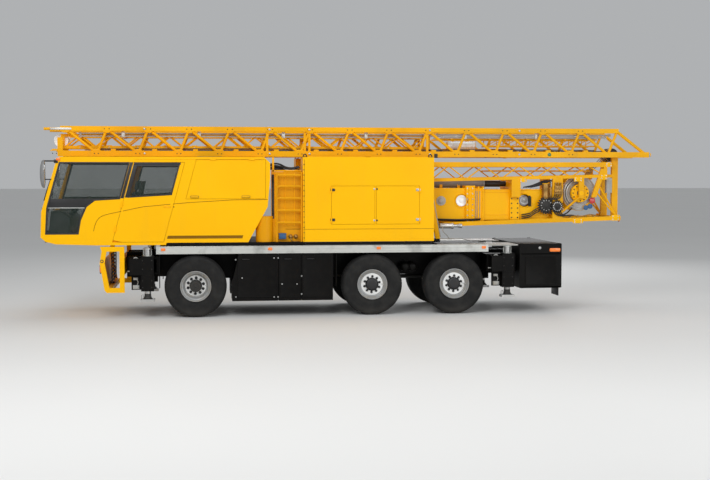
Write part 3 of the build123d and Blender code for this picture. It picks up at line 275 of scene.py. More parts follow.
# ---- Modelling --------------------------------------------------------------------------------
LEFT, RIGHT = Vector((0, -1, 0)), Vector((0, 1, 0))
FRONT, REAR = Vector((-1, 0, 0)), Vector((1, 0, 0))
UP = Vector((0, 0, 1))
SHARP = math.radians(40)     # edges that turn more than this are broken and stay crisp


def alone(piece):
    """Leaves this piece selected and nothing else."""
    bpy.ops.object.select_all(action="DESELECT")
    piece.select_set(True)
    bpy.context.view_layer.objects.active = piece


def begun():
    """The primitive just added, with its place put into its mesh."""
    bpy.ops.object.transform_apply()
    return bpy.context.object


def work_on(piece, kind="VERT"):
    """Opens the piece for editing with all of it selected."""
    alone(piece)
    bpy.ops.object.mode_set(mode="EDIT")
    bpy.ops.mesh.select_mode(type=kind)
    bpy.ops.mesh.select_all(action="SELECT")


def leave():
    bpy.ops.object.mode_set(mode="OBJECT")


def close_up():
    """Merges doubled points, turns all faces outwards and ends the editing."""
    bpy.ops.mesh.select_all(action="SELECT")
    bpy.ops.mesh.remove_doubles(threshold=0.00002)
    bpy.ops.mesh.normals_make_consistent(inside=False)
    leave()


def pick(piece, test, edges=False):
    """Selects the faces, or the edges, whose middle and normal, or direction, pass the test."""
    bpy.ops.mesh.select_mode(type="EDGE" if edges else "FACE")
    bpy.ops.mesh.select_all(action="DESELECT")
    mesh = bmesh.from_edit_mesh(piece.data)
    for part in mesh.edges if edges else mesh.faces:
        ends = [corner.co for corner in part.verts[:2]]
        middle = (ends[0] + ends[1]) / 2 if edges else part.calc_center_median()
        way = (ends[1] - ends[0]).normalized() if edges else part.normal
        if test(middle, way):
            part.select_set(True)
    bmesh.update_edit_mesh(piece.data)


def facing(way, least=0.9):
    """A test for faces that look one way."""
    return lambda middle, normal: normal.dot(way) > least


def along(way):
    """A test for edges that run one way or back, and for faces that look so."""
    return lambda middle, run: abs(run.dot(way)) > 0.9


def step(piece, test, border, rise, apart=False):
    """Insets the chosen faces by a border, then raises them, or sinks them if rise is negative."""
    work_on(piece, "FACE")
    pick(piece, test)
    if border:
        bpy.ops.mesh.inset(thickness=border, use_individual=apart)
    if apart:
        bpy.ops.mesh.extrude_faces_move(TRANSFORM_OT_shrink_fatten={"value": rise})
    else:
        bpy.ops.mesh.extrude_region_shrink_fatten(TRANSFORM_OT_shrink_fatten={"value": rise})
    leave()
    return piece


def round_edges(piece, test, radius, segments=3):
    """Rounds the chosen edges."""
    work_on(piece, "EDGE")
    pick(piece, test, edges=True)
    bpy.ops.mesh.bevel(offset=radius, segments=segments, affect="EDGES")
    leave()
    return piece


def block(low, high):
    """A box between two corners, as the start of a piece."""
    low, high = Vector(low), Vector(high)
    bpy.ops.object.select_all(action="DESELECT")
    bpy.ops.mesh.primitive_cube_add(size=1, location=(low + high) / 2, scale=high - low)
    return begun()


def panel(low, high, way, border, rise, corner=0.0, segments=3):
    """A box whose face on one side is inset and raised, or sunk. Corner rounds that side."""
    piece = block(low, high)
    if corner:
        round_edges(piece, along(way), corner, segments)
    return step(piece, facing(way), border, rise)


def rod(start, end, radius, sides=16):
    """A round bar between two points, as the start of a piece."""
    run = Vector(end) - Vector(start)
    bpy.ops.object.select_all(action="DESELECT")
    bpy.ops.mesh.primitive_cylinder_add(vertices=sides, radius=radius, depth=run.length,
                                        location=Vector(start) + run / 2,
                                        rotation=run.to_track_quat("Z", "Y").to_euler())
    return begun()


def turned(place, way, rings, sides=40):
    """A piece turned round an axis. Each ring gives its distance along the axis, its radius and,
    if it is twisted, its turn in degrees. It is a hollow ring if the last ring is the first."""
    hollow = rings[0][:2] == rings[-1][:2]
    bpy.ops.object.select_all(action="DESELECT")
    bpy.ops.mesh.primitive_circle_add(vertices=sides, radius=rings[0][1],
                                      fill_type="NOTHING" if hollow else "NGON",
                                      location=(0, 0, rings[0][0]))
    piece = begun()
    work_on(piece)
    for before, after in zip(rings, rings[1:]):
        rise, size = after[0] - before[0], after[1] / before[1]
        middle = (0, 0, after[0])
        bpy.ops.mesh.extrude_region_move(TRANSFORM_OT_translate={"value": (0, 0, rise)})
        bpy.ops.transform.resize(value=(size, size, 1), center_override=middle)
        twist = sum(after[2:]) - sum(before[2:])
        if twist:
            bpy.ops.transform.rotate(value=math.radians(twist), orient_axis="Z",
                                     center_override=middle)
    close_up()
    piece.rotation_euler = Vector(way).to_track_quat("Z", "Y").to_euler()
    piece.location = place
    bpy.ops.object.transform_apply()
    return piece


def line(points):
    """A line drawn from point to point by extruding, left open for editing."""
    bpy.ops.object.select_all(action="DESELECT")
    bpy.ops.mesh.primitive_plane_add(size=0.01, location=points[0])
    piece = begun()
    work_on(piece)
    bpy.ops.mesh.merge(type="CENTER")
    for here, there in zip(points, points[1:]):
        run = Vector(there) - Vector(here)
        bpy.ops.mesh.extrude_vertices_move(TRANSFORM_OT_translate={"value": run})
    bpy.ops.mesh.select_all(action="SELECT")
    return piece


def hose(points, radius, bend=0.06, sides=2):
    """A pipe or hose along a line whose corners are rounded."""
    line(points)
    if len(points) > 2:
        bpy.ops.mesh.bevel(offset=bend, segments=4, affect="VERTICES")
    leave()
    bpy.ops.object.convert(target="CURVE")
    curve = bpy.context.object.data
    curve.bevel_depth, curve.bevel_resolution, curve.use_fill_caps = radius, sides, True
    bpy.ops.object.convert(target="MESH")
    piece = bpy.context.object
    work_on(piece)
    close_up()
    return piece


def plate(outline, depth, hole=0.0):
    """A plate from its outline and the vector of its thickness. With a hole it is a frame whose
    bars are that wide."""
    piece = line(outline)
    bpy.ops.mesh.edge_face_add()
    if hole:
        bpy.ops.mesh.select_mode(type="FACE")
        bpy.ops.mesh.inset(thickness=hole)
        bpy.ops.mesh.delete(type="FACE")
    bpy.ops.mesh.select_mode(type="VERT")
    bpy.ops.mesh.select_all(action="SELECT")
    bpy.ops.mesh.extrude_region_move(TRANSFORM_OT_translate={"value": Vector(depth)})
    close_up()
    return piece


def side_plate(outline, y, thickness, hole=0.0):
    """A plate drawn on the side of the vehicle from X and Z places."""
    return plate([(x, y, z) for x, z in outline], (0, thickness, 0), hole)


def weld(pieces):
    """Joins pieces into the first one."""
    alone(pieces[0])
    for piece in pieces:
        piece.select_set(True)
    if len(pieces) > 1:
        bpy.ops.object.join()
    return pieces[0]


def twin(piece, change):
    """A copy with its own mesh, changed by a matrix."""
    other = piece.copy()
    other.data = piece.data.copy()
    bpy.context.collection.objects.link(other)
    other.data.transform(change)
    if change.determinant() < 0:
        other.data.flip_normals()
    return other


MIRROR = Matrix.Diagonal((1, -1, 1, 1))


def tilted(piece, place, degrees):
    """The piece turned about the Y axis, then moved to its place."""
    turn = Matrix.Rotation(math.radians(degrees), 4, "Y")
    piece.data.transform(Matrix.Translation(place) @ turn)
    return piece


def spread(piece, shifts):
    """The piece joined with copies of itself at other places."""
    return weld([piece] + [twin(piece, Matrix.Translation(shift)) for shift in shifts])


def around(piece, centre, axis, count):
    """The piece joined with copies of itself round an axis."""
    there, back = Matrix.Translation(centre), Matrix.Translation(-Vector(centre))
    turns = [Matrix.Rotation(math.tau * number / count, 4, axis) for number in range(1, count)]
    return weld([piece] + [twin(piece, there @ turn @ back) for turn in turns])


def bolts(places, way, radius=0.014, sides=6):
    """Bolt heads with washers at these places, looking one way."""
    first = turned(places[0], way, [(-0.004, radius * 1.5), (0.003, radius * 1.5), (0.003, radius),
                                    (radius * 0.75, radius), (radius, radius * 0.75)], sides)
    return spread(first, [Vector(place) - Vector(places[0]) for place in places[1:]])


def apply(piece, name, kind, **settings):
    """Adds a modifier with these settings and applies it."""
    modifier = piece.modifiers.new(name, kind)
    for key, value in settings.items():
        setattr(modifier, key, value)
    bpy.ops.object.modifier_apply(modifier=name)


def finished(piece, finish):
    """Gives the piece one material only."""
    piece.data.materials.clear()
    piece.data.materials.append(FINISH[finish])


def done(name, pieces, body, finish, edge=0.004, replaces=(), both="", other=""):
    """Joins the pieces under one name, breaks their sharp edges, smooths them, gives their finish
    and puts them on their body. Both names a mirrored twin for the other side, which rides on the
    same body or on the other one."""
    piece = weld(pieces) if isinstance(pieces, list) else pieces
    piece.name = piece.data.name = name
    alone(piece)
    if edge:
        apply(piece, "edges", "BEVEL", width=edge, segments=2, limit_method="ANGLE",
              angle_limit=SHARP)
    bpy.ops.object.shade_smooth_by_angle(angle=SHARP)
    for modifier in [one.name for one in piece.modifiers]:
        bpy.ops.object.modifier_apply(modifier=modifier)
    finished(piece, finish)
    made = [(piece, body)]
    if both:
        made.append((twin(piece, MIRROR), other or body))
        made[1][0].name = made[1][0].data.name = both
    for one, carrier in made:
        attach(one, carrier)
    if replaces:
        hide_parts(*replaces)
    return piece


def pair(name, pieces, body, finish, edge=0.004, replaces=()):
    """A piece on the left and its mirrored twin on the right, both on one body."""
    return done(f"{name}_left", pieces, body, finish, edge, replaces, f"{name}_right")


# ---- Wheels -----------------------------------------------------------------------------------
TYRE_RINGS = (
    (-0.180, 0.322), (-0.198, 0.330), (-0.210, 0.345), (-0.2075, 0.356), (-0.216, 0.372),
    (-0.2215, 0.43), (-0.2225, 0.50), (-0.219, 0.553), (-0.2215, 0.562), (-0.214, 0.59),
    (-0.200, 0.616, 3.0), (-0.172, 0.634, 2.4), (-0.115, 0.639, 1.2), (-0.058, 0.641, 0.0),
    (0.0, 0.6415, 1.5), (0.058, 0.641, 3.0), (0.115, 0.639, 1.8), (0.172, 0.634, 0.6),
    (0.200, 0.616, 0.0), (0.214, 0.59), (0.2215, 0.562), (0.219, 0.553), (0.2225, 0.50),
    (0.2215, 0.43), (0.216, 0.372), (0.2075, 0.356), (0.210, 0.345), (0.198, 0.330),
    (0.180, 0.322), (-0.180, 0.322),
)
RIM_RINGS = {
    "front": ((0.194, 0.3225), (0.203, 0.3195), (0.2045, 0.309), (0.198, 0.302), (0.178, 0.294),
              (0.150, 0.288), (0.142, 0.266), (0.130, 0.258), (0.045, 0.248), (0.0215, 0.238),
              (0.0165, 0.225), (0.0165, 0.128), (-0.0075, 0.128), (-0.0075, 0.240),
              (-0.02, 0.262), (-0.15, 0.284), (-0.19, 0.302), (-0.20, 0.318), (-0.19, 0.3225),
              (-0.172, 0.3085), (-0.14, 0.300), (-0.08, 0.280), (0.08, 0.280), (0.14, 0.300),
              (0.172, 0.3085), (0.194, 0.3225)),
    "rear": ((0.194, 0.3225), (0.203, 0.3195), (0.2045, 0.309), (0.198, 0.302), (0.178, 0.294),
             (0.158, 0.290), (0.152, 0.276), (0.158, 0.268), (0.154, 0.262), (0.134, 0.256),
             (0.1265, 0.240), (0.1265, 0.140), (0.1025, 0.140), (0.1025, 0.250),
             (0.085, 0.264), (-0.15, 0.284), (-0.19, 0.302), (-0.20, 0.318), (-0.19, 0.3225),
             (-0.172, 0.3085), (-0.14, 0.300), (-0.08, 0.280), (0.08, 0.280), (0.14, 0.300),
             (0.172, 0.3085), (0.194, 0.3225)),
}
HUB_RINGS = {
    "front": ((0.150, 0.052), (-0.0145, 0.052), (-0.0145, 0.095), (-0.008, 0.127),
              (0.060, 0.127), (0.066, 0.118), (0.120, 0.112), (0.132, 0.120), (0.158, 0.120),
              (0.166, 0.112), (0.166, 0.062), (0.156, 0.056), (0.156, 0.030), (0.168, 0.026)),
    "rear": ((0.150, 0.052), (-0.0145, 0.052), (-0.0145, 0.105), (0.06, 0.126), (0.120, 0.134),
             (0.150, 0.134), (0.154, 0.128), (0.172, 0.124), (0.182, 0.108), (0.1855, 0.080),
             (0.1865, 0.040)),
}
NUT_PLACE = {"front": 0.0165, "rear": 0.1265}    # the nuts' seat, out from the wheel's middle
NUT_SIZE = {"front": 0.027, "rear": 0.024}
NUT_CIRCLE = 0.166
SPIN_TURN = 0.06         # of the nuts from the top
DISC_REACH = {"front": (0.134, 0.221), "rear": (0.142, 0.234)}
TREAD_FOOT = 0.622       # tread blocks rise outside this radius
TREAD_HALF = 0.19        # half the tread's width


def wheels():
    """Tyres with block treads, rims with their flanges, hubs, nuts and valves."""
    for number in (1, 2, 3):
        kind = "front" if number == 1 else "rear"
        low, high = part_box(f"tyre_{number}_left")
        middle, face = (low + high) / 2, NUT_PLACE[kind]
        tread = turned(middle, LEFT, TYRE_RINGS, 60)
        step(tread, lambda spot, way: math.hypot(spot.x - middle.x, spot.z - middle.z) > TREAD_FOOT
             and abs(spot.y - middle.y) < TREAD_HALF and math.hypot(way.x, way.z) > 0.8, 0.006,
             0.0075, True)
        rim = turned(middle, LEFT, RIM_RINGS[kind], 64)
        inner, outer = DISC_REACH[kind]
        disc = turned(middle, LEFT, [(face - 0.001, inner), (face + 0.0015, inner + 0.002),
                                     (face + 0.0015, outer - 0.002), (face - 0.001, outer)], 56)
        hub = turned(middle, LEFT, HUB_RINGS[kind], 40)
        if kind == "front":
            step(hub, lambda spot, way: way.y < -0.9 and spot.y < middle.y - 0.160
                 and math.hypot(spot.x - middle.x, spot.z - middle.z) > 0.06, 0.008, -0.006)
        size = NUT_SIZE[kind]
        top_nut = Matrix.Rotation(SPIN_TURN, 3, "Y") @ Vector((0, 0, NUT_CIRCLE))
        nut = turned(middle + LEFT * face + top_nut, LEFT,
                     [(-0.004, size * 1.25), (0.003, size * 1.25), (0.003, size), (0.024, size),
                      (0.028, size * 0.8), (0.028, size * 0.55), (0.046, size * 0.5)], 6)
        nuts = around(nut, middle, "Y", 10)
        depth = face + 0.004
        valve = hose([middle + LEFT * (depth + out) + Vector((reach, 0, 0))
                      for out, reach in ((0, 0.205), (0.03, 0.215), (0.05, 0.25))], 0.006, 0.01)
        parts = (("tread_tyre", tread, "tyre", "tyre", 0), ("steel_rim", rim, "rim", "rim", 0),
                 ("wheel_disc", disc, "disc", "", 0),
                 ("hub", hub, "cast" if kind == "front" else "trim", "", 0.002),
                 ("wheel_nuts", nuts, "trim", "", 0.0015), ("valve", valve, "steel", "", 0))
        left, right = f"{number}_left", f"{number}_right"
        for word, piece, finish, node, edge in parts:
            done(f"{word}_{left}", piece, f"wheel_{left}", finish, edge,
                 (f"{node}_{left}",) if node else (), f"{word}_{right}", f"wheel_{right}")
            if node:
                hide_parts(f"{node}_{right}")


# ---- Cab --------------------------------------------------------------------------------------
SEAM_SLOPE = 0.27
ROOF = 3.345


def leaned(top_x, height):
    """X of a seam that slants forward from the roof."""
    return top_x - SEAM_SLOPE * (ROOF - height)


def slanted(front, rear, low, high):
    """The outline of a panel between two slanting seams, given at the roof's height."""
    return [(leaned(front, low), low), (leaned(rear, low), low), (leaned(rear, high), high),
            (leaned(front, high), high)]


NOSE = -6.632
SIDE_WINDOW = [(NOSE + 0.386, 3.235), (leaned(-4.788, 3.235), 3.235), (leaned(-4.788, 2.47), 2.47),
               (-5.531, 2.44), (-5.60, 2.40), (-5.697, 2.314), (-5.770, 2.18), (-5.818, 2.039),
               (-5.868, 1.748), (-6.541, 1.748), (-6.511, 2.294)]
DOOR_WINDOW = [(leaned(-4.648, 2.5), 2.5), (leaned(-3.754, 2.553), 2.553),
               (leaned(-3.754, 3.18), 3.18), (leaned(-4.648, 3.18), 3.18)]
WINDOW_BAND = [(-6.505, 2.300), (-6.455, 2.485), (leaned(-4.80, 2.485), 2.485), (-5.531, 2.452),
               (-5.60, 2.41), (-5.702, 2.300)]


def cab_windows():
    """Black seals, bands and covers round the panes, and the wipers."""
    cab, door = "slewing_body", "cab_door_body"
    seal = side_plate(SIDE_WINDOW, -1.244, 0.034, 0.032)
    pair("side_seal", seal, cab, "trim", 0.003)
    band = side_plate(WINDOW_BAND, -1.229, 0.014)
    pair("window_band", band, cab, "trim", 0.002)
    rule = panel((-6.500, -1.233, 2.288), (-5.706, -1.214, 2.300), LEFT, 0.003, 0.001)
    pair("window_rule", rule, cab, "aluminium", 0.001)
    cover = side_plate(slanted(-4.784, -4.722, 2.49, 3.232), -1.243, 0.01)
    pair("pillar_cover", cover, cab, "trim", 0.002)
    cover = side_plate(slanted(-4.700, -4.640, 2.505, 3.182), -1.243, 0.01)
    done("door_front_cover_left", cover, door, "trim", 0.002, both="front_cover_right", other=cab)
    sill = panel((-5.215, -1.188, 1.574), (-4.97, -1.184, 1.622), LEFT, 0.006, 0.001)
    done("door_backing", sill, cab, "yellow", 0)
    seal = side_plate(DOOR_WINDOW, -1.244, 0.034, 0.030)
    done("door_seal_left", seal, door, "trim", 0.003, both="rear_seal_right", other=cab)
    cover = side_plate(slanted(-4.700, -3.742, 3.178, 3.228), -1.2435, 0.01)
    done("door_top_cover_left", cover, door, "trim", 0.002, both="rear_top_cover_right", other=cab)
    grip = panel((-4.14, -1.252, 2.295), (-3.99, -1.238, 2.325), LEFT, 0.010, -0.010)
    done("door_grip_left", grip, door, "yellow", 0.004)
    # the lock takes the dark painted shade yellow
    lock = turned((-3.93, -1.238, 2.31), LEFT,
                  [(0, 0.014), (0.004, 0.014), (0.006, 0.011), (0.006, 0.006), (0.003, 0.005)], 20)
    done("door_lock_left", lock, door, "painted_shade_yellow", 0)
    bar = panel((-6.608, -1.15, 2.262), (-6.575, 1.15, 2.300), FRONT, 0.006, 0.004)
    done("windscreen_bar", bar, cab, "trim", 0.004)
    strips = [block((x0, -1.15, z0), (x1, 1.15, z1))
              for x0, x1, z0, z1 in ((-6.600, -6.560, 1.775, 1.800),
                                     (-6.338, -6.285, 3.215, 3.250))]
    done("windscreen_strips", strips, cab, "trim", 0.005)
    arms = []
    for y, foot in ((-0.72, -0.10), (0.18, 0.80)):
        low, mid = Vector((-6.612, foot, 2.235)), Vector((-6.606, (y + foot) / 2, 2.42))
        tip = Vector((-6.552, y, 2.66))
        arms.append(turned(low, FRONT, [(-0.02, 0.035), (0.004, 0.035), (0.010, 0.022)], 20))
        arms.append(hose([low, mid, tip], 0.009, 0.05))
        arms.append(hose([tip + Vector((-0.068, 0, -0.23)), tip + Vector((-0.004, 0, -0.01)),
                          tip + Vector((0.076, 0, 0.23))], 0.011, 0.05))
    done("wiper_arms", arms, cab, "trim", 0)


CREASE_Y = -1.2385       # just proud of the cab's side
MIRROR_Z = 2.9905
MIRROR_TALL = 2.42       # a mirror's height to its width


def cab_outside():
    """Creases, mirrors, corner lamps, the roof's hatch and gutters, and the hatches' grips."""
    cab, door = "slewing_body", "cab_door_body"
    # The creases are thin ridges in the dark painted shade yellow, which stands for the shade
    # along the folds.
    crease = [(-5.566, 1.815), (-5.545, 1.92), (-5.503, 2.024), (-5.455, 2.085), (-5.399, 2.127),
              (-5.25, 2.170), (-5.09, 2.203), (-5.00, 2.222)]
    nose = hose([(x, CREASE_Y, z) for x, z in crease], 0.0065, 0.05, 1)
    pair("crease_cab", nose, cab, "painted_shade_yellow", 0)
    back = [(-4.968, 2.228), (-4.571, 2.312), (-4.045, 2.361), (-4.00, 2.365)]
    back = hose([(x, CREASE_Y, z) for x, z in back], 0.0065, 0.05, 1)
    done("crease_door_left", back, door, "painted_shade_yellow", 0, both="crease_rear_right", other=cab)
    far = [(-3.945, 2.370), (-3.60, 2.399), (-2.70, 2.452), (-1.99, 2.458)]
    far = hose([(x, CREASE_Y, z) for x, z in far], 0.0065, 0.05, 1)
    pair("crease_hood", far, cab, "painted_shade_yellow", 0)
    head = turned((-6.522, -1.30, MIRROR_Z), FRONT,
                  [(0, 0.108), (0.006, 0.118), (0.036, 0.118), (0.060, 0.106), (0.080, 0.080),
                   (0.091, 0.050), (0.095, 0.020)], 48)
    pane = turned((-6.522, -1.30, MIRROR_Z), REAR,
                  [(-0.004, 0.104), (0.003, 0.104), (0.005, 0.100)], 48)
    for word, one, finish, nodes in (("head", head, "grey_plastic", ("mirrors",)),
                                     ("pane", pane, "mirror_glass", ())):
        work_on(one)
        bpy.ops.transform.resize(value=(1, 1, MIRROR_TALL))
        leave()
        done(f"mirror_{word}_left", one, cab, finish, 0, nodes, f"mirror_{word}_right")
    arm = hose([(-6.56, -1.30, 3.215), (-6.56, -1.27, 3.255), (-6.30, -1.27, 3.255),
                (-6.30, -1.225, 3.255)], 0.016, 0.03)
    brace = hose([(-6.56, -1.30, 2.90), (-6.56, -1.262, 2.88), (-6.43, -1.262, 2.88),
                  (-6.40, -1.225, 2.88)], 0.012, 0.02)
    foot = panel((-6.345, -1.256, 3.215), (-6.265, -1.232, 3.285), LEFT, 0.012, 0.006)
    pair("mirror_arm", [arm, brace, foot], cab, "trim", 0.003)
    lamp = panel((-6.30, -1.262, 3.262), (-6.215, -1.236, 3.318), LEFT, 0.008, 0.006, 0.012, 2)
    pair("corner_lamp", lamp, cab, "orange_lens", 0.003)
    hatch = panel((-5.35, -0.40, 3.335), (-4.55, 0.40, 3.353), UP, 0.06, 0.008, 0.07, 4)
    done("roof_hatch", hatch, cab, "yellow", 0.004)
    # The hood's strip takes the dark painted shade yellow: a dark band of painted shade along the
    # hood.
    strip = side_plate([(-4.075, 1.650), (-2.520, 1.650), (-2.500, 1.712), (-4.057, 1.712)],
                       -1.246, 0.010)
    step(strip, facing(LEFT), 0.012, -0.003)
    pair("hood_strip", strip, cab, "painted_shade_yellow", 0.002)
    grips = [panel((x - 0.085, -1.262, 2.496), (x + 0.085, -1.236, 2.536), LEFT, 0.009, -0.005)
             for x in (-3.500, -2.440)]
    done("hatch_grips_left", grips, "hatch_left_body", "trim", 0.004,
         both="hatch_grips_right", other="hatch_right_body")
    lip = side_plate([(leaned(-4.70, 3.29), 3.285), (-2.10, 3.300), (-2.10, 3.318),
                      (leaned(-4.70, 3.30), 3.303)], -1.250, 0.012)
    pair("roof_gutter", lip, cab, "yellow", 0.003)


CLOTH_GRID = 0.011
CLOTH_PRESSURE = 4.0
CLOTH_STIFFNESS = 30.0
CLOTH_FRAMES = 20        # enough for the pad to swell to its cap


def cushion(name, piece, body, rise):
    """A foam pad in cloth: the shape is swollen by a cloth simulation and its swelling capped."""
    piece.name = piece.data.name = name
    alone(piece)
    apply(piece, "grid", "REMESH", mode="VOXEL", voxel_size=CLOTH_GRID)
    rest = [corner.co.copy() for corner in piece.data.vertices]
    cloth = piece.modifiers.new("cloth", "CLOTH")
    cloth.settings.use_pressure = True
    cloth.settings.uniform_pressure_force = CLOTH_PRESSURE
    cloth.settings.effector_weights.gravity = 0.0
    cloth.settings.tension_stiffness = cloth.settings.compression_stiffness = CLOTH_STIFFNESS
    cloth.collision_settings.use_self_collision = False
    scene = bpy.context.scene
    for frame_number in range(1, CLOTH_FRAMES + 1):
        scene.frame_set(frame_number)
    alone(piece)
    bpy.ops.object.modifier_apply(modifier="cloth")
    for corner, before in zip(piece.data.vertices, rest):
        shift = corner.co - before
        if shift.length > rise:
            corner.co = before + shift * (rise / shift.length)
    scene.frame_set(1)
    apply(piece, "calm", "SMOOTH", factor=0.5, iterations=4)
    apply(piece, "finer", "SUBSURF", levels=1, render_levels=1)
    bpy.ops.object.shade_smooth()
    finished(piece, "seat")
    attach(piece, body)
    return piece


SEAT_Y = 0.56            # from the middle to either seat; the driver's is on the left


def seats():
    """Two suspended seats with cushions, backs and headrests."""
    cab = "slewing_body"
    for side, y in (("left", -SEAT_Y), ("right", SEAT_Y)):
        base = block((-5.23, y - 0.20, 1.565), (-4.93, y + 0.20, 1.960))
        step(base, along(RIGHT), 0.03, -0.02)
        rail = block((-5.33, y - 0.22, 1.955), (-4.84, y + 0.22, 1.990))
        shell = side_plate([(-4.80, 2.03), (-4.755, 2.03), (-4.585, 2.84), (-4.625, 2.84)],
                           y - 0.21, 0.42)
        done(f"seat_base_{side}", [base, rail, shell], cab, "trim", 0.006)
        squab = panel((-5.345, y - 0.235, 2.000), (-4.82, y + 0.235, 2.095), UP, 0.08, -0.012)
        cushion(f"seat_cushion_{side}", squab, cab, 0.014)
        back = side_plate([(-4.915, 2.11), (-4.815, 2.08), (-4.690, 2.62), (-4.785, 2.62)],
                          y - 0.215, 0.43)
        cushion(f"seat_back_{side}", back, cab, 0.014)
        head = side_plate([(-4.76, 2.66), (-4.685, 2.66), (-4.650, 2.84), (-4.725, 2.84)],
                          y - 0.13, 0.26)
        cushion(f"seat_headrest_{side}", head, cab, 0.010)
        for hand, reach in (("inner", 1), ("outer", -1)):
            turn = -reach if y > 0 else reach
            place = y + turn * 0.285
            rest = block((-5.16, place - 0.035, 2.265), (-4.80, place + 0.035, 2.315))
            round_edges(rest, lambda spot, way: abs(way.x) < 0.5, 0.014, 2)
            pod = block((-5.28, place - 0.05, 2.24), (-5.16, place + 0.05, 2.30))
            stick = turned((-5.22, place, 2.30), UP,
                           [(-0.01, 0.035), (0.01, 0.030), (0.03, 0.010), (0.10, 0.009),
                            (0.115, 0.019), (0.17, 0.022), (0.19, 0.014)], 16)
            prop = hose([(-4.88, place, 2.27), (-4.84, place, 2.05),
                         (-4.90, place - turn * 0.06, 1.98)], 0.016, 0.05)
            done(f"armrest_{side}_{hand}", [rest, pod, stick, prop], cab, "trim", 0.003)


def controls():
    """The dashboard with its cluster, the steering wheel on its column, pedals and the floor."""
    cab = "slewing_body"
    outline = [(-6.570, 1.580), (-6.120, 1.580), (-6.055, 2.085), (-6.245, 2.222), (-6.440, 2.222),
               (-6.485, 1.780), (-6.560, 1.780)]
    dash = side_plate(outline, -1.075, 2.15)
    step(dash, lambda spot, way: way.z > 0.6 and way.x > 0.3, 0.035, -0.012)
    done("dashboard", dash, cab, "trim", 0.012, ("cab_interior",))
    screens = [tilted(panel((-0.012, y - 0.17, -0.075), (0.008, y + 0.17, 0.075), REAR, 0.012,
                            -0.004), (-6.145, 0, 2.158), -54) for y in (-SEAT_Y, -0.05, 0.42)]
    done("dash_screens", screens, cab, "grey_plastic", 0.003)
    rim = turned((0, 0, 0), UP, [(0.015, 0.228), (0.010, 0.216), (-0.004, 0.212), (-0.016, 0.218),
                                 (-0.016, 0.234), (-0.004, 0.242), (0.010, 0.238), (0.015, 0.228)],
                 48)
    hub = turned((0, 0, -0.03), UP, [(-0.02, 0.035), (0.0, 0.062), (0.022, 0.062), (0.030, 0.045)],
                 24)
    spokes = hose([(0, 0.04, -0.018), (0, 0.13, -0.010), (0, 0.222, 0.0)], 0.013, 0.04)
    spokes = around(spokes, (0, 0, 0), "Z", 3)
    wheel = tilted(weld([rim, hub, spokes]), (-5.880, -SEAT_Y, 2.380), -38)
    done("steering_wheel", wheel, cab, "trim", 0.002)
    column = hose([(-6.20, -SEAT_Y, 2.06), (-6.02, -SEAT_Y, 2.19), (-5.895, -SEAT_Y, 2.355)],
                  0.030, 0.05)
    cowl = rod((-6.12, -SEAT_Y, 2.10), (-5.955, -SEAT_Y, 2.285), 0.052, 20)
    step(cowl, lambda spot, way: spot.z > 2.27 and way.z > 0.4, 0.016, 0.012)
    done("steering_column", [column, cowl], cab, "trim", 0.006)
    pedals = []
    for y in (-0.70, -SEAT_Y, -0.44):
        pad = panel((-0.008, y - 0.035, -0.06), (0.010, y + 0.035, 0.06), REAR, 0.008, 0.004)
        pedals += [tilted(pad, (-6.04, 0, 1.72), -35),
                   rod((-6.12, y, 1.80), (-6.045, y, 1.73), 0.009, 10)]
    done("pedals", pedals, cab, "cast", 0.003)
    mat = panel((-5.95, -1.10, 1.567), (-4.45, 1.10, 1.580), UP, 0.03, -0.004)
    done("floor_mat", mat, cab, "trim", 0.004)
    box = block((-5.10, -0.16, 1.575), (-4.60, 0.16, 2.02))
    round_edges(box, along(RIGHT), 0.04, 3)
    step(box, facing(UP, 0.95), 0.03, -0.02)
    done("side_console", box, cab, "grey_plastic", 0.006)


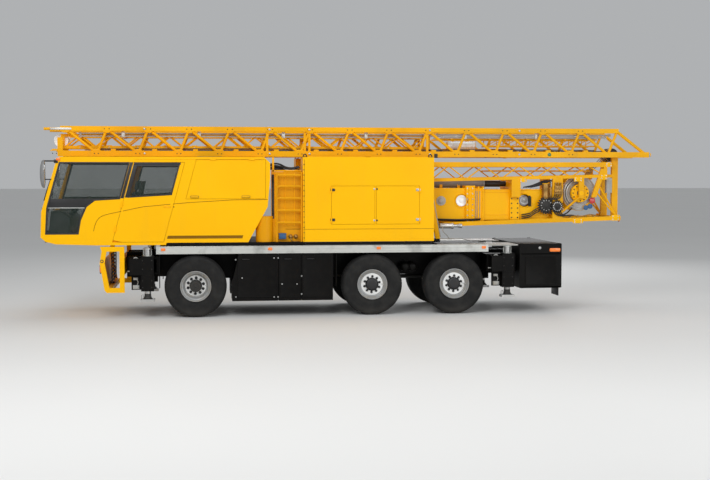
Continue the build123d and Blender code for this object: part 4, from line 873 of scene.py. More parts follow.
# ---- Hood, ladder bay, housing and deck -------------------------------------------------------
def upper_works():
    """Seams, latches, the ladder's fittings and what shows between hood and housing."""
    top = "slewing_body"
    # The seams are thin strips in the dark painted shade yellow, which stands for the shade in the
    # joints between the panels.
    seams = [block((-1.236, -1.2425, 1.826), (1.548, -1.236, 1.834)),
             block((-1.215, -1.2425, 1.575), (-1.207, -1.236, 3.30)),
             block((-1.60, -1.100, 1.826), (-1.24, -1.086, 1.834))]
    done("housing_seams", seams, top, "painted_shade_yellow", 0.001)
    for word, x, finish in (("front", 0.325, "cast"), ("rear", 0.269, "steel")):
        latches = [turned((x, -1.238, z), LEFT, [(0, 0.020), (0.006, 0.020), (0.009, 0.014),
                                                 (0.009, 0.010), (0.014, 0.009)], 16)
                   for z in (2.675, 2.010)]
        flip = "rear" if x > 0.3 else "front"
        done(f"door_latches_{word}", latches, f"housing_door_{flip}_body", finish, 0)
        edge = -0.619 if word == "front" else 1.214
        straps = []
        for z in (2.026, 2.658):
            strap = block((edge - 0.05, -1.250, z - 0.028), (edge + 0.05, -1.239, z + 0.028))
            round_edges(strap, along(RIGHT), 0.012, 2)
            heads = bolts([(edge - 0.025, -1.250, z), (edge + 0.025, -1.250, z)], LEFT, 0.008)
            straps += [strap, heads]
        done(f"door_straps_{word}", straps, f"housing_door_{word}_body",
             "trim" if word == "front" else "steel", 0.002)
    for number, (x0, x1) in enumerate(((-0.95, 0.10), (0.22, 1.27))):
        board = panel((x0, 1.238, 1.92), (x1, 1.250, 3.12), RIGHT, 0.03, -0.004, 0.05, 4)
        done(f"right_panel_{number}", board, top, "yellow", 0.003)
        slat = panel((x0 + 0.20, 1.246, 2.62), (x1 - 0.20, 1.262, 2.636), RIGHT, 0.003, -0.003)
        slats = spread(slat, [(0, 0, 0.045 * n) for n in range(1, 9)])
        done(f"right_slats_{number}", slats, top, "trim", 0.001)
        edge = x0 if number == 0 else x1
        fittings = [block((edge - 0.045, 1.248, z), (edge + 0.045, 1.258, z + 0.05))
                    for z in (2.05, 2.93)]
        other = x1 - 0.09 if number == 0 else x0 + 0.09
        fittings.append(turned((other, 1.248, 2.40), RIGHT,
                               [(0, 0.030), (0.006, 0.030), (0.010, 0.022), (0.010, 0.012),
                                (0.018, 0.010)], 20))
        done(f"right_hinges_{number}", fittings, top, "steel", 0.002)
    for word, side in SIDES.items():
        eyes = [side_plate([(x - 0.05, 3.338), (x + 0.05, 3.338), (x + 0.04, 3.40), (x, 3.425),
                            (x - 0.04, 3.40)], side * 1.09, 0.014, 0.022) for x in (-1.190, 1.500)]
        done(f"lifting_eyes_{word}", eyes, top, "cast", 0.002)
    dots = [(-1.226, -1.2405, z / 1000) for z in range(1650, 3250, 110)]
    done("bay_rivets", bolts(dots, LEFT, 0.007), top, "cast", 0)
    # Painted shade: a dark sunk plate stands for the shaded opening beside the ladder.
    recess = panel((-1.895, -1.098, 2.05), (-1.845, -1.086, 2.98), LEFT, 0.010, -0.006)
    done("bay_slot", recess, top, "cast", 0.002)
    fold = [block((x, -1.108, 1.90), (x + 0.012, -1.088, 3.02))
            for x in (-1.825, -1.62, -1.42, -1.255)]
    done("bay_folds", fold, top, "yellow", 0.004)
    treads = [panel((-1.770, -1.218, z + 0.010), (-1.293, -1.184, z + 0.024), UP, 0.006, -0.003)
              for z in (1.966, 2.222, 2.476, 2.727, 2.959)]
    done("rung_treads", treads, top, "jib_yellow", 0.002)
    box = panel((-1.745, -1.175, 1.625), (-1.600, -1.095, 1.735), LEFT, 0.014, 0.008)
    lid = block((-1.752, -1.182, 1.728), (-1.593, -1.090, 1.746))
    done("bay_box", [box, lid], top, "blue_cap", 0.006)
    coil = turned((-1.50, -1.095, 1.675), LEFT,
                  [(0, 0.045), (0.02, 0.045), (0.03, 0.03), (0.06, 0.03), (0.065, 0.018),
                   (0.085, 0.018)], 20)
    coil = spread(coil, [(0.11, 0, 0)])
    pipe = hose([(-1.50, -1.16, 1.675), (-1.50, -1.19, 1.60), (-1.45, -1.16, 1.565),
                 (-1.33, -1.12, 1.565)], 0.012, 0.04)
    done("bay_valves", [coil, pipe], top, "brass", 0.002)
    rear = [block((x - 0.02, -1.03, 3.00), (x + 0.02, -0.99, ROOF))
            for x in (-1.858, -1.118, -1.040)]
    rear.append(block((-1.90, -1.03, 3.04), (-1.26, -0.99, 3.075)))
    done("gap_posts", rear, top, "jib_yellow", 0.004)
    pipes = [hose([(-1.96, y, z), (-1.75, y, z + 0.02 * number), (-1.52, y + 0.05, z - 0.08),
                   (-1.28, y + 0.04, z - 0.03)], 0.019, 0.12)
             for number, (y, z) in enumerate(((-0.92, 3.10), (-0.86, 3.16), (-0.80, 3.11),
                                              (-0.74, 3.18)))]
    done("gap_hoses", pipes, top, "trim", 0)
    stack = turned((-2.06, 0.62, 3.335), UP, [(0, 0.085), (0.012, 0.085), (0.018, 0.062),
                                              (0.10, 0.062), (0.104, 0.066), (0.15, 0.066),
                                              (0.15, 0.056), (0.02, 0.056)], 32)
    done("exhaust", stack, top, "steel", 0)
    for word, side in SIDES.items():
        slats = [block((x, side * 0.80 - 0.20, 3.343), (x + 0.028, side * 0.80 + 0.20, 3.356))
                 for x in [-3.42 + number * 0.055 for number in range(9)]]
        border = plate([(-3.45, side * 0.80 - 0.23, 3.342), (-2.93, side * 0.80 - 0.23, 3.342),
                        (-2.93, side * 0.80 + 0.23, 3.342), (-3.45, side * 0.80 + 0.23, 3.342)],
                       (0, 0, 0.014), 0.03)
        done(f"hood_vents_{word}", slats + [border], top, "trim", 0.003)
        lids = [panel((x0, side * 0.94 - 0.22, 3.343), (x1, side * 0.94 + 0.22, 3.353), UP, 0.03,
                      0.004, 0.04) for x0, x1 in ((-1.15, 0.10), (0.20, 1.45))]
        done(f"housing_lids_{word}", lids, top, "yellow", 0.003)
    louvres = [panel((1.548, 0.80, z), (1.566, 1.14, z + 0.040), REAR, 0.008, -0.004)
               for z in [2.05 + number * 0.07 for number in range(14)]]
    done("rear_louvres", louvres, top, "yellow", 0.004)


RAIL_FACE = 1.266


def deck():
    """Rails with their beads and reflectors, tread plates, and at the platform's edge a dark strip
    of painted shade under the housing.
    """
    top = "carrier"
    for word, side in SIDES.items():
        beads = [hose([(-4.296, side * RAIL_FACE, z), (2.735, side * RAIL_FACE, z)], 0.005, 0, 1)
                 for z in (1.368, 1.426, 1.482)]
        done(f"rail_beads_{word}", beads, top, "aluminium", 0)
        # The reflectors take the orange lens finish; its glow on them is a painted glow, for they
        # are no lamps.
        marks = [panel((x - 0.045, side * 1.272 - 0.006, 1.395),
                       (x + 0.045, side * 1.272 + 0.006, 1.455), RIGHT * side, 0.008, 0.003, 0.012,
                       2) for x in (-4.154, -1.940, 0.360, 2.640)]
        done(f"reflectors_{word}", marks, top, "orange_lens", 0.002)
        plates = []
        for x0, x1 in ((-4.20, -3.30), (1.70, 2.70)):
            plates.append(block((x0, side * 0.95 - 0.26, 1.468), (x1, side * 0.95 + 0.26, 1.474)))
            bar = block((x0 + 0.04, side * 0.95 - 0.23, 1.473),
                        (x0 + 0.055, side * 0.95 - 0.20, 1.478))
            plates.append(spread(bar, [(0.045 * i, 0.055 * j, 0)
                                       for i in range(int((x1 - x0 - 0.08) / 0.045))
                                       for j in range(9) if (i + j) % 2 == 0 and (i or j)]))
        done(f"tread_plates_{word}", plates, top, "aluminium", 0)
        # Painted shade: a dark strip fills the gap between the deck and the housing, where a
        # shadow line falls.
        gap_shade = panel((-1.20, side * 1.236 - 0.006, 1.500), (1.50, side * 1.236 + 0.006, 1.566),
                      RIGHT * side, 0.010, -0.003)
        done(f"slew_gap_shade_{word}", gap_shade, "slewing_body", "trim", 0.003)


SKIN = 1.240             # half the body's width
TAIL_FACE = 4.366


def lockers():
    """Doors, grips and bolts on the side lockers, and the tail box with its lamps and flaps."""
    top = "carrier"
    for word, side in SIDES.items():
        face = side * SKIN
        for number, (x0, x1) in enumerate(((-2.62, -1.80), (-1.735, -1.315), (-1.255, -0.63))):
            door = panel((x0, min(face, face + side * 0.012), 0.40),
                         (x1, max(face, face + side * 0.012), 1.285), RIGHT * side, 0.016, -0.005,
                         0.025)
            done(f"locker_door_{number}_{word}", door, top, "black", 0.002)
            grip = hose([(x0 + 0.10, face + side * 0.004, 1.21),
                         (x0 + 0.10, face + side * 0.028, 1.21),
                         (x0 + 0.24, face + side * 0.028, 1.21),
                         (x0 + 0.24, face + side * 0.004, 1.21)], 0.007, 0.012)
            done(f"locker_grip_{number}_{word}", grip, top, "trim", 0)
        spots = [(-1.858, 1.231), (-1.774, 1.231), (-1.860, 0.410), (-1.776, 0.410),
                 (-2.528, 0.817), (-1.692, 0.682), (-1.376, 0.678), (-1.280, 0.846),
                 (-1.281, 0.466), (-2.66, 1.20), (-2.66, 0.42)]
        done(f"locker_bolts_{word}", bolts([(x, side * 1.252, z) for x, z in spots], RIGHT * side,
                                           0.011), top, "steel", 0)
    frame_bars = []
    for y in (-1.205, 1.205):
        for x in (3.49, 4.32):
            frame_bars.append(block((x - 0.03, y - 0.03, 0.53), (x + 0.03, y + 0.03, 1.50)))
        frame_bars.append(block((3.46, y - 0.035, 1.255), (4.35, y + 0.035, 1.285)))
        frame_bars.append(block((3.46, y - 0.035, 0.530), (4.35, y + 0.035, 0.570)))
    done("tail_box_bars", frame_bars, top, "black", 0.006)
    for word, side in SIDES.items():
        board = panel((3.56, side * 1.246 - 0.006, 0.60), (4.25, side * 1.246 + 0.006, 1.23),
                      RIGHT * side, 0.018, -0.004, 0.03)
        done(f"tail_box_door_{word}", board, top, "black", 0.002)
        latch = turned((3.884, side * 1.238, 1.40), RIGHT * side,
                       [(0, 0.030), (0.008, 0.030), (0.012, 0.022), (0.012, 0.012),
                        (0.022, 0.010)], 20)
        done(f"tail_latch_{word}", latch, top, "steel", 0)
        lamp = panel((4.10, side * 1.250 - 0.012, 1.318), (4.335, side * 1.250 + 0.012, 1.392),
                     RIGHT * side, 0.010, 0.006, 0.02)
        done(f"side_lamp_{word}", lamp, top, "orange_lens", 0.003)
        for kind, y, finish in (("brake", 1.06, "red_lens"), ("turn", 0.90, "orange_lens"),
                                ("reverse", 0.74, "clear_lens")):
            lens_piece = turned((TAIL_FACE, side * y, 0.86), REAR,
                                [(-0.01, 0.070), (0.006, 0.070), (0.012, 0.060), (0.012, 0.052),
                                 (0.022, 0.044), (0.026, 0.020)], 32)
            done(f"tail_{kind}_{word}", lens_piece, top, finish, 0)
        flap = panel((4.30, side * 0.98 - 0.25, 0.36), (4.312, side * 0.98 + 0.25, 0.56), REAR,
                     0.03, -0.003)
        done(f"tail_flap_{word}", flap, top, "trim", 0.003)
        eye = turned((4.360, side * 0.42, 0.70), REAR,
                     [(0, 0.060), (0.006, 0.060), (0.010, 0.045), (0.010, 0.030), (-0.02, 0.026)],
                     24)
        done(f"tow_eye_{word}", eye, top, "cast", 0)
    stripes = [block((TAIL_FACE, y - 0.02, 0.98), (TAIL_FACE + 0.012, y + 0.02, 1.44))
               for y in [-1.05 + number * 0.42 for number in range(6)]]
    done("tail_ribs", stripes, top, "black", 0.004)


LAMP = 0.095             # a headlamp's radius
LAMP_X = -5.456


def bumper():
    """Headlamps in their bezels, blinkers, bushes, the two grilles and the tow pin."""
    top = "carrier"
    for word, side in SIDES.items():
        rings, panes = [], []
        for y in (0.72, 0.98):
            rings.append(turned((LAMP_X, side * y, 1.02), FRONT,
                                [(-0.03, LAMP + 0.004), (0.006, LAMP + 0.012),
                                 (0.012, LAMP + 0.004), (0.006, LAMP - 0.010),
                                 (-0.002, LAMP - 0.014)], 40))
            panes.append(turned((LAMP_X, side * y, 1.02), FRONT,
                                [(-0.002, LAMP - 0.008), (0.004, LAMP - 0.010),
                                 (0.009, LAMP * 0.6), (0.011, 0.015)], 40))
        done(f"lamp_bezel_{word}", rings, top, "trim", 0)
        done(f"headlamp_{word}", panes, top, "clear_lens", 0)
        blink = panel((-5.452, side * 1.125 - 0.03, 0.95), (-5.415, side * 1.125 + 0.03, 1.09),
                      FRONT, 0.01, 0.006, 0.014)
        done(f"front_blinker_{word}", blink, top, "orange_lens", 0.003)
        hole = turned((-5.405, side * 1.233, 1.191), RIGHT * side,
                      [(0, 0.034), (0.010, 0.034), (0.010, 0.020), (-0.004, 0.018)], 24)
        done(f"bumper_bush_{word}", hole, top, "cast", 0)
    bars = [block((-5.27, -0.62, 0.72 + 0.08 * n), (-5.24, 0.62, 0.745 + 0.08 * n))
            for n in range(8)]
    bars += [block((-5.262, y - 0.015, 0.70), (-5.235, y + 0.015, 1.33))
             for y in (-0.60, 0.0, 0.60)]
    done("front_grille", bars, top, "trim", 0.003)
    slats = []
    for z in (0.70, 0.76, 0.82, 0.88, 0.94, 1.00, 1.06):
        x = -5.452 + (1.15 - z) * 0.166
        slats.append(block((x - 0.010, -0.50, z), (x + 0.014, 0.50, z + 0.022)))
    for y in (-0.50, 0.50):
        slats.append(side_plate([(-5.386, 0.69), (-5.447, 1.09), (-5.420, 1.09), (-5.360, 0.69)],
                                y - 0.012, 0.024))
    done("panel_grille", slats, top, "trim", 0.003)
    pin = turned((-5.30, 0, 0.62), FRONT, [(-0.06, 0.05), (0.05, 0.05), (0.06, 0.07), (0.09, 0.07),
                                           (0.09, 0.035), (0.04, 0.03)], 28)
    done("tow_pin", pin, top, "cast", 0.002)


AXLES = (-3.492, 0.228, 2.003)


def under_carriage():
    """Drive shafts, spring struts, air tanks and brake chambers under the frame."""
    top = "carrier"
    shaft = turned((-3.30, 0, 0.76), REAR, [(0, 0.07), (0.05, 0.07), (0.07, 0.045), (3.22, 0.045),
                                            (3.24, 0.07), (3.30, 0.07)], 20)
    rear = turned((0.43, 0, 0.72), REAR, [(0, 0.07), (0.05, 0.07), (0.07, 0.045), (1.32, 0.045),
                                          (1.34, 0.07), (1.39, 0.07)], 20)
    done("drive_shafts", [shaft, rear], top, "cast", 0.002)
    struts = [turned((x + shift, side * 0.53, 0.70), UP,
                     [(0, 0.045), (0.22, 0.045), (0.22, 0.062), (0.30, 0.062), (0.31, 0.075),
                      (0.58, 0.075), (0.60, 0.05)], 20) for x in AXLES for side in (-1, 1)
              for shift in (-0.16, 0.16)]
    done("spring_struts", struts, top, "black", 0.002)
    tanks = [turned((x, -0.80, 0.98), RIGHT, [(-0.02, 0.05), (0.0, 0.085), (0.04, 0.105),
                                              (0.40, 0.105), (0.44, 0.085), (0.46, 0.05)], 28)
             for x in (1.02, 1.18)]
    done("air_tanks", tanks, top, "black", 0.002)
    pots = [turned((x - 0.26, side * 0.53, 0.74), LEFT * side,
                   [(0, 0.06), (0.03, 0.08), (0.07, 0.08), (0.075, 0.088), (0.085, 0.088),
                    (0.09, 0.08), (0.14, 0.07), (0.15, 0.03)], 24) for x in AXLES
            for side in (-1, 1)]
    done("brake_pots", pots, top, "cast", 0.001)


# ---- Mast and tail ----------------------------------------------------------------------------
FOOT_WINDOW, HEAD_WINDOW, WINDOW_Z = 2.346, 3.784, 2.405      # the round openings' centres
RAM_Z = 2.780


def mast():
    """Collar ribs, bolts, window sleeves, the ram, hoses, and the mast's rest with its lock."""
    foot, head = "mast_foot", "mast_head"
    ribs, heads = [], []
    for side in (-1, 1):
        for x in (2.436, 2.492, 2.552, 2.612):
            rib = block((x, side * 0.427 - 0.009, 1.925), (x + 0.016, side * 0.427 + 0.009, 2.715))
            ribs.append(rib)
        heads.append(bolts([(x, side * 0.421, z / 1000) for x in (2.466, 2.582)
                            for z in range(1960, 2700, 120)], RIGHT * side, 0.011))
    done("collar_ribs", ribs, foot, "yellow", 0.003)
    done("collar_bolts", heads, foot, "steel", 0)
    strips = [block((x, -0.372, 2.02), (x + 0.012, -0.366, 2.62)) for x in (2.655, 2.690, 2.752)]
    done("collar_shims", strips, foot, "pale", 0.001)
    heads = [bolts([(x, side * 0.401, z / 1000) for x in (3.475, 3.612)
                    for z in range(2030, 2800, 105)], RIGHT * side, 0.011) for side in (-1, 1)]
    done("head_bolts", heads, head, "cast", 0)
    for name, body, x, face in (("foot", foot, FOOT_WINDOW, 0.365),
                                ("head", head, HEAD_WINDOW, 0.338)):
        for word, side in SIDES.items():
            sleeve = turned((x, side * face, WINDOW_Z), RIGHT * side,
                            [(-0.03, 0.139), (0.010, 0.139), (0.014, 0.144), (0.014, 0.160),
                             (0.002, 0.168), (-0.006, 0.168), (-0.006, 0.150), (-0.03, 0.150),
                             (-0.03, 0.139)], 48)
            done(f"window_sleeve_{name}_{word}", sleeve, body, "yellow", 0)
    sheave = turned((HEAD_WINDOW, -0.24, WINDOW_Z), LEFT,
                    [(-0.04, 0.118), (-0.03, 0.118), (-0.008, 0.096), (0.008, 0.096),
                     (0.03, 0.118), (0.04, 0.118), (0.042, 0.108), (0.026, 0.085), (0.026, 0.045),
                     (0.046, 0.040), (0.050, 0.022)], 40)
    done("window_sheave", sheave, head, "steel", 0)
    shaft = rod((HEAD_WINDOW, -0.30, WINDOW_Z), (HEAD_WINDOW, 0.30, WINDOW_Z), 0.020, 16)
    step(shaft, facing(LEFT), 0.006, 0.010)
    done("window_shaft", shaft, head, "steel", 0.002)
    cap = turned((FOOT_WINDOW, -0.346, WINDOW_Z), LEFT,
                 [(0, 0.118), (0.004, 0.124), (0.010, 0.124), (0.014, 0.112), (0.008, 0.095),
                  (0.008, 0.050), (0.016, 0.045), (0.018, 0.020)], 40)
    pair("window_cap", cap, foot, "disc", 0)
    # Painted highlight: the pale boss stands for a bright white spot, a highlight beside the
    # mast's foot window.
    boss = turned((1.885, -0.365, WINDOW_Z), LEFT,
                  [(0, 0.105), (0.008, 0.105), (0.014, 0.095), (0.014, 0.070), (0.030, 0.064),
                   (0.040, 0.050), (0.042, 0.025)], 36)
    pair("foot_boss", boss, foot, "pale", 0)
    bracket = side_plate([(3.86, 2.28), (3.93, 2.28), (3.93, 2.48), (3.90, 2.52), (3.86, 2.50)],
                         -0.345, -0.03)
    done("window_bracket", bracket, head, "cast", 0.004)
    strips = [block((2.87, -0.3435, z), (3.435, -0.336, z + 0.012)) for z in (2.640, 2.585, 2.085)]
    for z in (2.628, 2.020):
        strips.append(block((3.66, -0.3435, z), (4.36, -0.336, z + 0.012)))
    done("head_strips", strips, head, "jib_yellow", 0.001)
    ram = turned((1.62, 0, RAM_Z), REAR, [(0, 0.0915), (0.70, 0.0915), (0.705, 0.098),
                                          (0.74, 0.098), (0.745, 0.0915), (1.26, 0.0915),
                                          (1.265, 0.105), (1.318, 0.105), (1.322, 0.090),
                                          (1.322, 0.0565), (0, 0.0565), (0, 0.0915)], 32)
    done("ram_barrel", ram, foot, "grey_plastic", 0.001)
    gland = turned((2.944, 0, RAM_Z), REAR, [(0, 0.0555), (0.02, 0.0555), (0.024, 0.072),
                                             (0.36, 0.072), (0.37, 0.060), (0.49, 0.060)], 32)
    done("ram_rod", gland, head, "trim", 0.001)
    pipes = []
    for number in range(3):
        y, z = -0.395 - 0.028 * number, 1.985 + 0.012 * number
        pipes.append(hose([(1.62, y, z), (2.30, y, z - 0.02), (2.40, y - 0.05, z - 0.01),
                           (2.66, y - 0.05, z - 0.01), (2.76, y, z)], 0.013, 0.10))
    done("mast_hoses", pipes, foot, "trim", 0)
    cover = side_plate([(1.526, 2.652), (1.624, 2.652), (1.816, 1.580), (1.714, 1.580)], -0.634,
                       0.068)
    pair("rest_cover", cover, "slewing_body", "yellow", 0.006)
    strap = side_plate([(1.655, 2.45), (1.672, 2.45), (1.828, 1.62), (1.812, 1.62)], -0.640, 0.030)
    pair("rest_lining", strap, "slewing_body", "pale", 0.003)
    lock = turned((1.80, -0.600, 1.862), REAR,
                  [(0, 0.050), (0.02, 0.058), (0.26, 0.058), (0.27, 0.066), (0.31, 0.066),
                   (0.315, 0.034), (0.43, 0.034), (0.435, 0.050), (0.50, 0.050), (0.505, 0.03)],
                  28)
    done("mast_lock", lock, "slewing_body", "steel", 0.001, both="mast_lock_right")
    pipe = hose([(1.86, -0.655, 1.84), (1.86, -0.70, 1.74), (1.96, -0.66, 1.66),
                 (2.02, -0.62, 1.58)], 0.011, 0.05)
    done("mast_lock_pipe", pipe, "slewing_body", "pale", 0)


SWING_X, SWING_Z = 4.240, 2.300
BRAKE_X, BRAKE_Z = 4.472, 2.275
WINCH_X, WINCH_Z = 5.040, 2.570


def drives():
    """The swing drive with its toothed rings, valves and hoses, and the hoist winch."""
    head, drum = "mast_head", "winch_drum"
    tooth = panel((4.224, -0.498, 2.455), (4.256, -0.446, 2.485), UP, 0.006, 0.012)
    teeth = around(tooth, (SWING_X, -0.472, SWING_Z), "Y", 20)
    disc = turned((SWING_X, -0.446, SWING_Z), LEFT,
                  [(0, 0.158), (0.050, 0.158), (0.054, 0.150), (0.054, 0.126), (0.058, 0.126),
                   (0.062, 0.100), (0.074, 0.096), (0.076, 0.050), (0.084, 0.046), (0.086, 0.020)],
                  48)
    done("swing_teeth", [teeth, disc], head, "cast", 0.001)
    ring = around(bolts([(SWING_X, -0.502, SWING_Z + 0.112)], LEFT, 0.010),
                  (SWING_X, -0.5, SWING_Z), "Y", 12)
    done("swing_bolts", ring, head, "steel", 0)
    motor = turned((SWING_X, -0.425, 2.44), UP,
                   [(0, 0.083), (0.05, 0.094), (0.085, 0.094), (0.09, 0.084), (0.20, 0.084),
                    (0.205, 0.090), (0.23, 0.090), (0.235, 0.084), (0.33, 0.084), (0.352, 0.060),
                    (0.358, 0.03)], 32)
    done("swing_motor", motor, head, "brass", 0.001)
    valves = [block((4.33, -0.445, 2.46), (4.54, -0.345, 2.70))]
    step(valves[0], facing(LEFT), 0.016, 0.010)
    for number in range(4):
        x = 4.355 + 0.053 * number
        valves.append(turned((x, -0.40, 2.695), UP,
                             [(0, 0.020), (0.04, 0.020), (0.045, 0.014), (0.075, 0.014),
                              (0.08, 0.020), (0.10, 0.018)], 12))
    done("valve_block", valves, head, "brass", 0.003)
    box = panel((4.36, -0.452, 2.20), (4.53, -0.345, 2.43), LEFT, 0.02, -0.006, 0.02)
    done("valve_cover", box, head, "jib_yellow", 0.004)
    pipes = []
    for number in range(4):
        x = 4.36 + 0.055 * number
        pipes.append(hose([(x, -0.40, 2.78), (x, -0.42, 2.84), (x - 0.14, -0.43, 2.86),
                           (x - 0.42, -0.40, 2.74), (x - 0.62, -0.385, 2.70)], 0.013, 0.06))
    for number in range(3):
        z = 2.25 - 0.04 * number
        pipes.append(hose([(4.10, -0.44, z), (3.98, -0.445, z - 0.05), (3.90, -0.41, z - 0.13),
                           (3.70, -0.415, z - 0.16)], 0.013, 0.06))
    pipes.append(hose([(4.33, -0.46, 2.13), (4.50, -0.44, 2.06), (4.72, -0.42, 2.10),
                       (4.86, -0.40, 2.24)], 0.016, 0.08))
    done("drive_hoses", pipes, head, "trim", 0)
    bank = panel((4.402, -0.572, 2.545), (4.588, -0.522, 2.655), LEFT, 0.012, 0.008)
    bank = [bank, block((4.43, -0.566, 2.665), (4.56, -0.524, 2.735))]
    for number in range(3):
        x = 4.435 + 0.058 * number
        bank.append(turned((x, -0.548, 2.65), UP,
                           [(0, 0.022), (0.09, 0.022), (0.095, 0.015), (0.125, 0.015),
                            (0.13, 0.019), (0.16, 0.017)], 14))
        bank.append(turned((x, -0.578, 2.60), LEFT,
                           [(0, 0.021), (0.022, 0.021), (0.026, 0.012), (0.036, 0.011)], 14))
    done("swing_valves", bank, head, "brass", 0.003)
    tooth = panel((4.461, -0.566, 2.385), (4.483, -0.530, 2.412), UP, 0.004, 0.008)
    teeth = around(tooth, (BRAKE_X, -0.548, BRAKE_Z), "Y", 18)
    disc = turned((BRAKE_X, -0.521, BRAKE_Z), LEFT,
                  [(0, 0.113), (0.050, 0.113), (0.054, 0.104), (0.054, 0.078), (0.066, 0.072),
                   (0.068, 0.036), (0.080, 0.032), (0.082, 0.012)], 40)
    done("brake_teeth", [teeth, disc], head, "cast", 0.001)
    heads = around(bolts([(BRAKE_X, -0.576, BRAKE_Z + 0.091)], LEFT, 0.009),
                   (BRAKE_X, -0.57, BRAKE_Z), "Y", 14)
    done("brake_bolts", heads, head, "steel", 0)
    pipes = []
    for number in range(4):
        x = 4.415 + 0.05 * number
        pipes.append(hose([(x, -0.55, 2.56), (x - 0.01, -0.565, 2.49), (x - 0.10, -0.575, 2.43),
                           (x - 0.20, -0.555, 2.44)], 0.011, 0.04))
        pipes.append(hose([(x - 0.02, -0.545, 2.18), (x + 0.02, -0.56, 2.10),
                           (x + 0.16, -0.545, 2.06), (x + 0.30, -0.54, 2.08)], 0.011, 0.04))
    done("swing_hoses", pipes, head, "trim", 0)
    windings = [(-0.285, 0.262)]
    for number in range(28):
        windings += [(-0.285 + 0.0200 * number + 0.004, 0.280),
                     (-0.285 + 0.0200 * number + 0.014, 0.280),
                     (-0.285 + 0.0200 * number + 0.018, 0.272)]
    rope = turned((WINCH_X, 0, WINCH_Z), RIGHT, windings + [(0.288, 0.262)], 40)
    done("winch_rope", rope, drum, "rope", 0)
    for word, side in SIDES.items():
        face = turned((WINCH_X, side * 0.330, WINCH_Z), RIGHT * side,
                      [(0, 0.390), (0.008, 0.390), (0.012, 0.382), (0.012, 0.330), (0.003, 0.322),
                       (0.003, 0.215), (0.0, 0.215)], 56)
        done(f"winch_face_{word}", face, drum, "pale", 0.001)
        cap = turned((WINCH_X, side * 0.424, WINCH_Z), RIGHT * side,
                     [(0, 0.203), (0.010, 0.203), (0.016, 0.192), (0.016, 0.150), (0.008, 0.142),
                      (0.008, 0.085), (0.014, 0.080), (0.014, 0.052)], 40)
        done(f"winch_cap_{word}", cap, drum, "yellow", 0.001)
        nuts = around(bolts([(WINCH_X, side * 0.441, WINCH_Z + 0.170)], RIGHT * side, 0.011),
                      (WINCH_X, side * 0.44, WINCH_Z), "Y", 12)
        hub = turned((WINCH_X, side * 0.436, WINCH_Z), RIGHT * side,
                     [(0, 0.078), (0.010, 0.078), (0.016, 0.070), (0.016, 0.052)], 28)
        done(f"winch_bolts_{word}", [nuts, hub], drum, "cast", 0)
    arcs = []
    for reach, y in ((0.352, -0.365), (0.300, -0.372)):
        bend = [(WINCH_X + reach * math.cos(math.radians(turn)), y,
                 WINCH_Z + reach * math.sin(math.radians(turn))) for turn in range(100, 262, 18)]
        arcs.append(hose(bend, 0.020, 0.02))
    done("winch_pipes", arcs, head, "steel", 0)
    # The knob takes the red lens finish; its faint glow is a painted glow, for the knob is no
    # lamp.
    knob = turned((5.320, -0.350, 2.400), LEFT,
                  [(0, 0.030), (0.05, 0.030), (0.055, 0.062), (0.075, 0.070), (0.095, 0.062),
                   (0.10, 0.03)], 24)
    done("winch_knob", knob, head, "red_lens", 0.001)
    tap = turned((5.174, -0.350, 2.245), LEFT,
                 [(0, 0.035), (0.05, 0.035), (0.055, 0.055), (0.08, 0.055), (0.085, 0.03)], 20)
    second = twin(tap, Matrix.Translation((0.10, 0, 0.03)))
    done("winch_tap", [tap, second], head, "blue_cap", 0.001)
    arm = side_plate([(5.14, 2.20), (5.36, 2.33), (5.40, 2.47), (5.34, 2.48), (5.27, 2.36),
                      (5.12, 2.27)], -0.345, -0.020)
    done("winch_arm", arm, head, "yellow", 0.004)


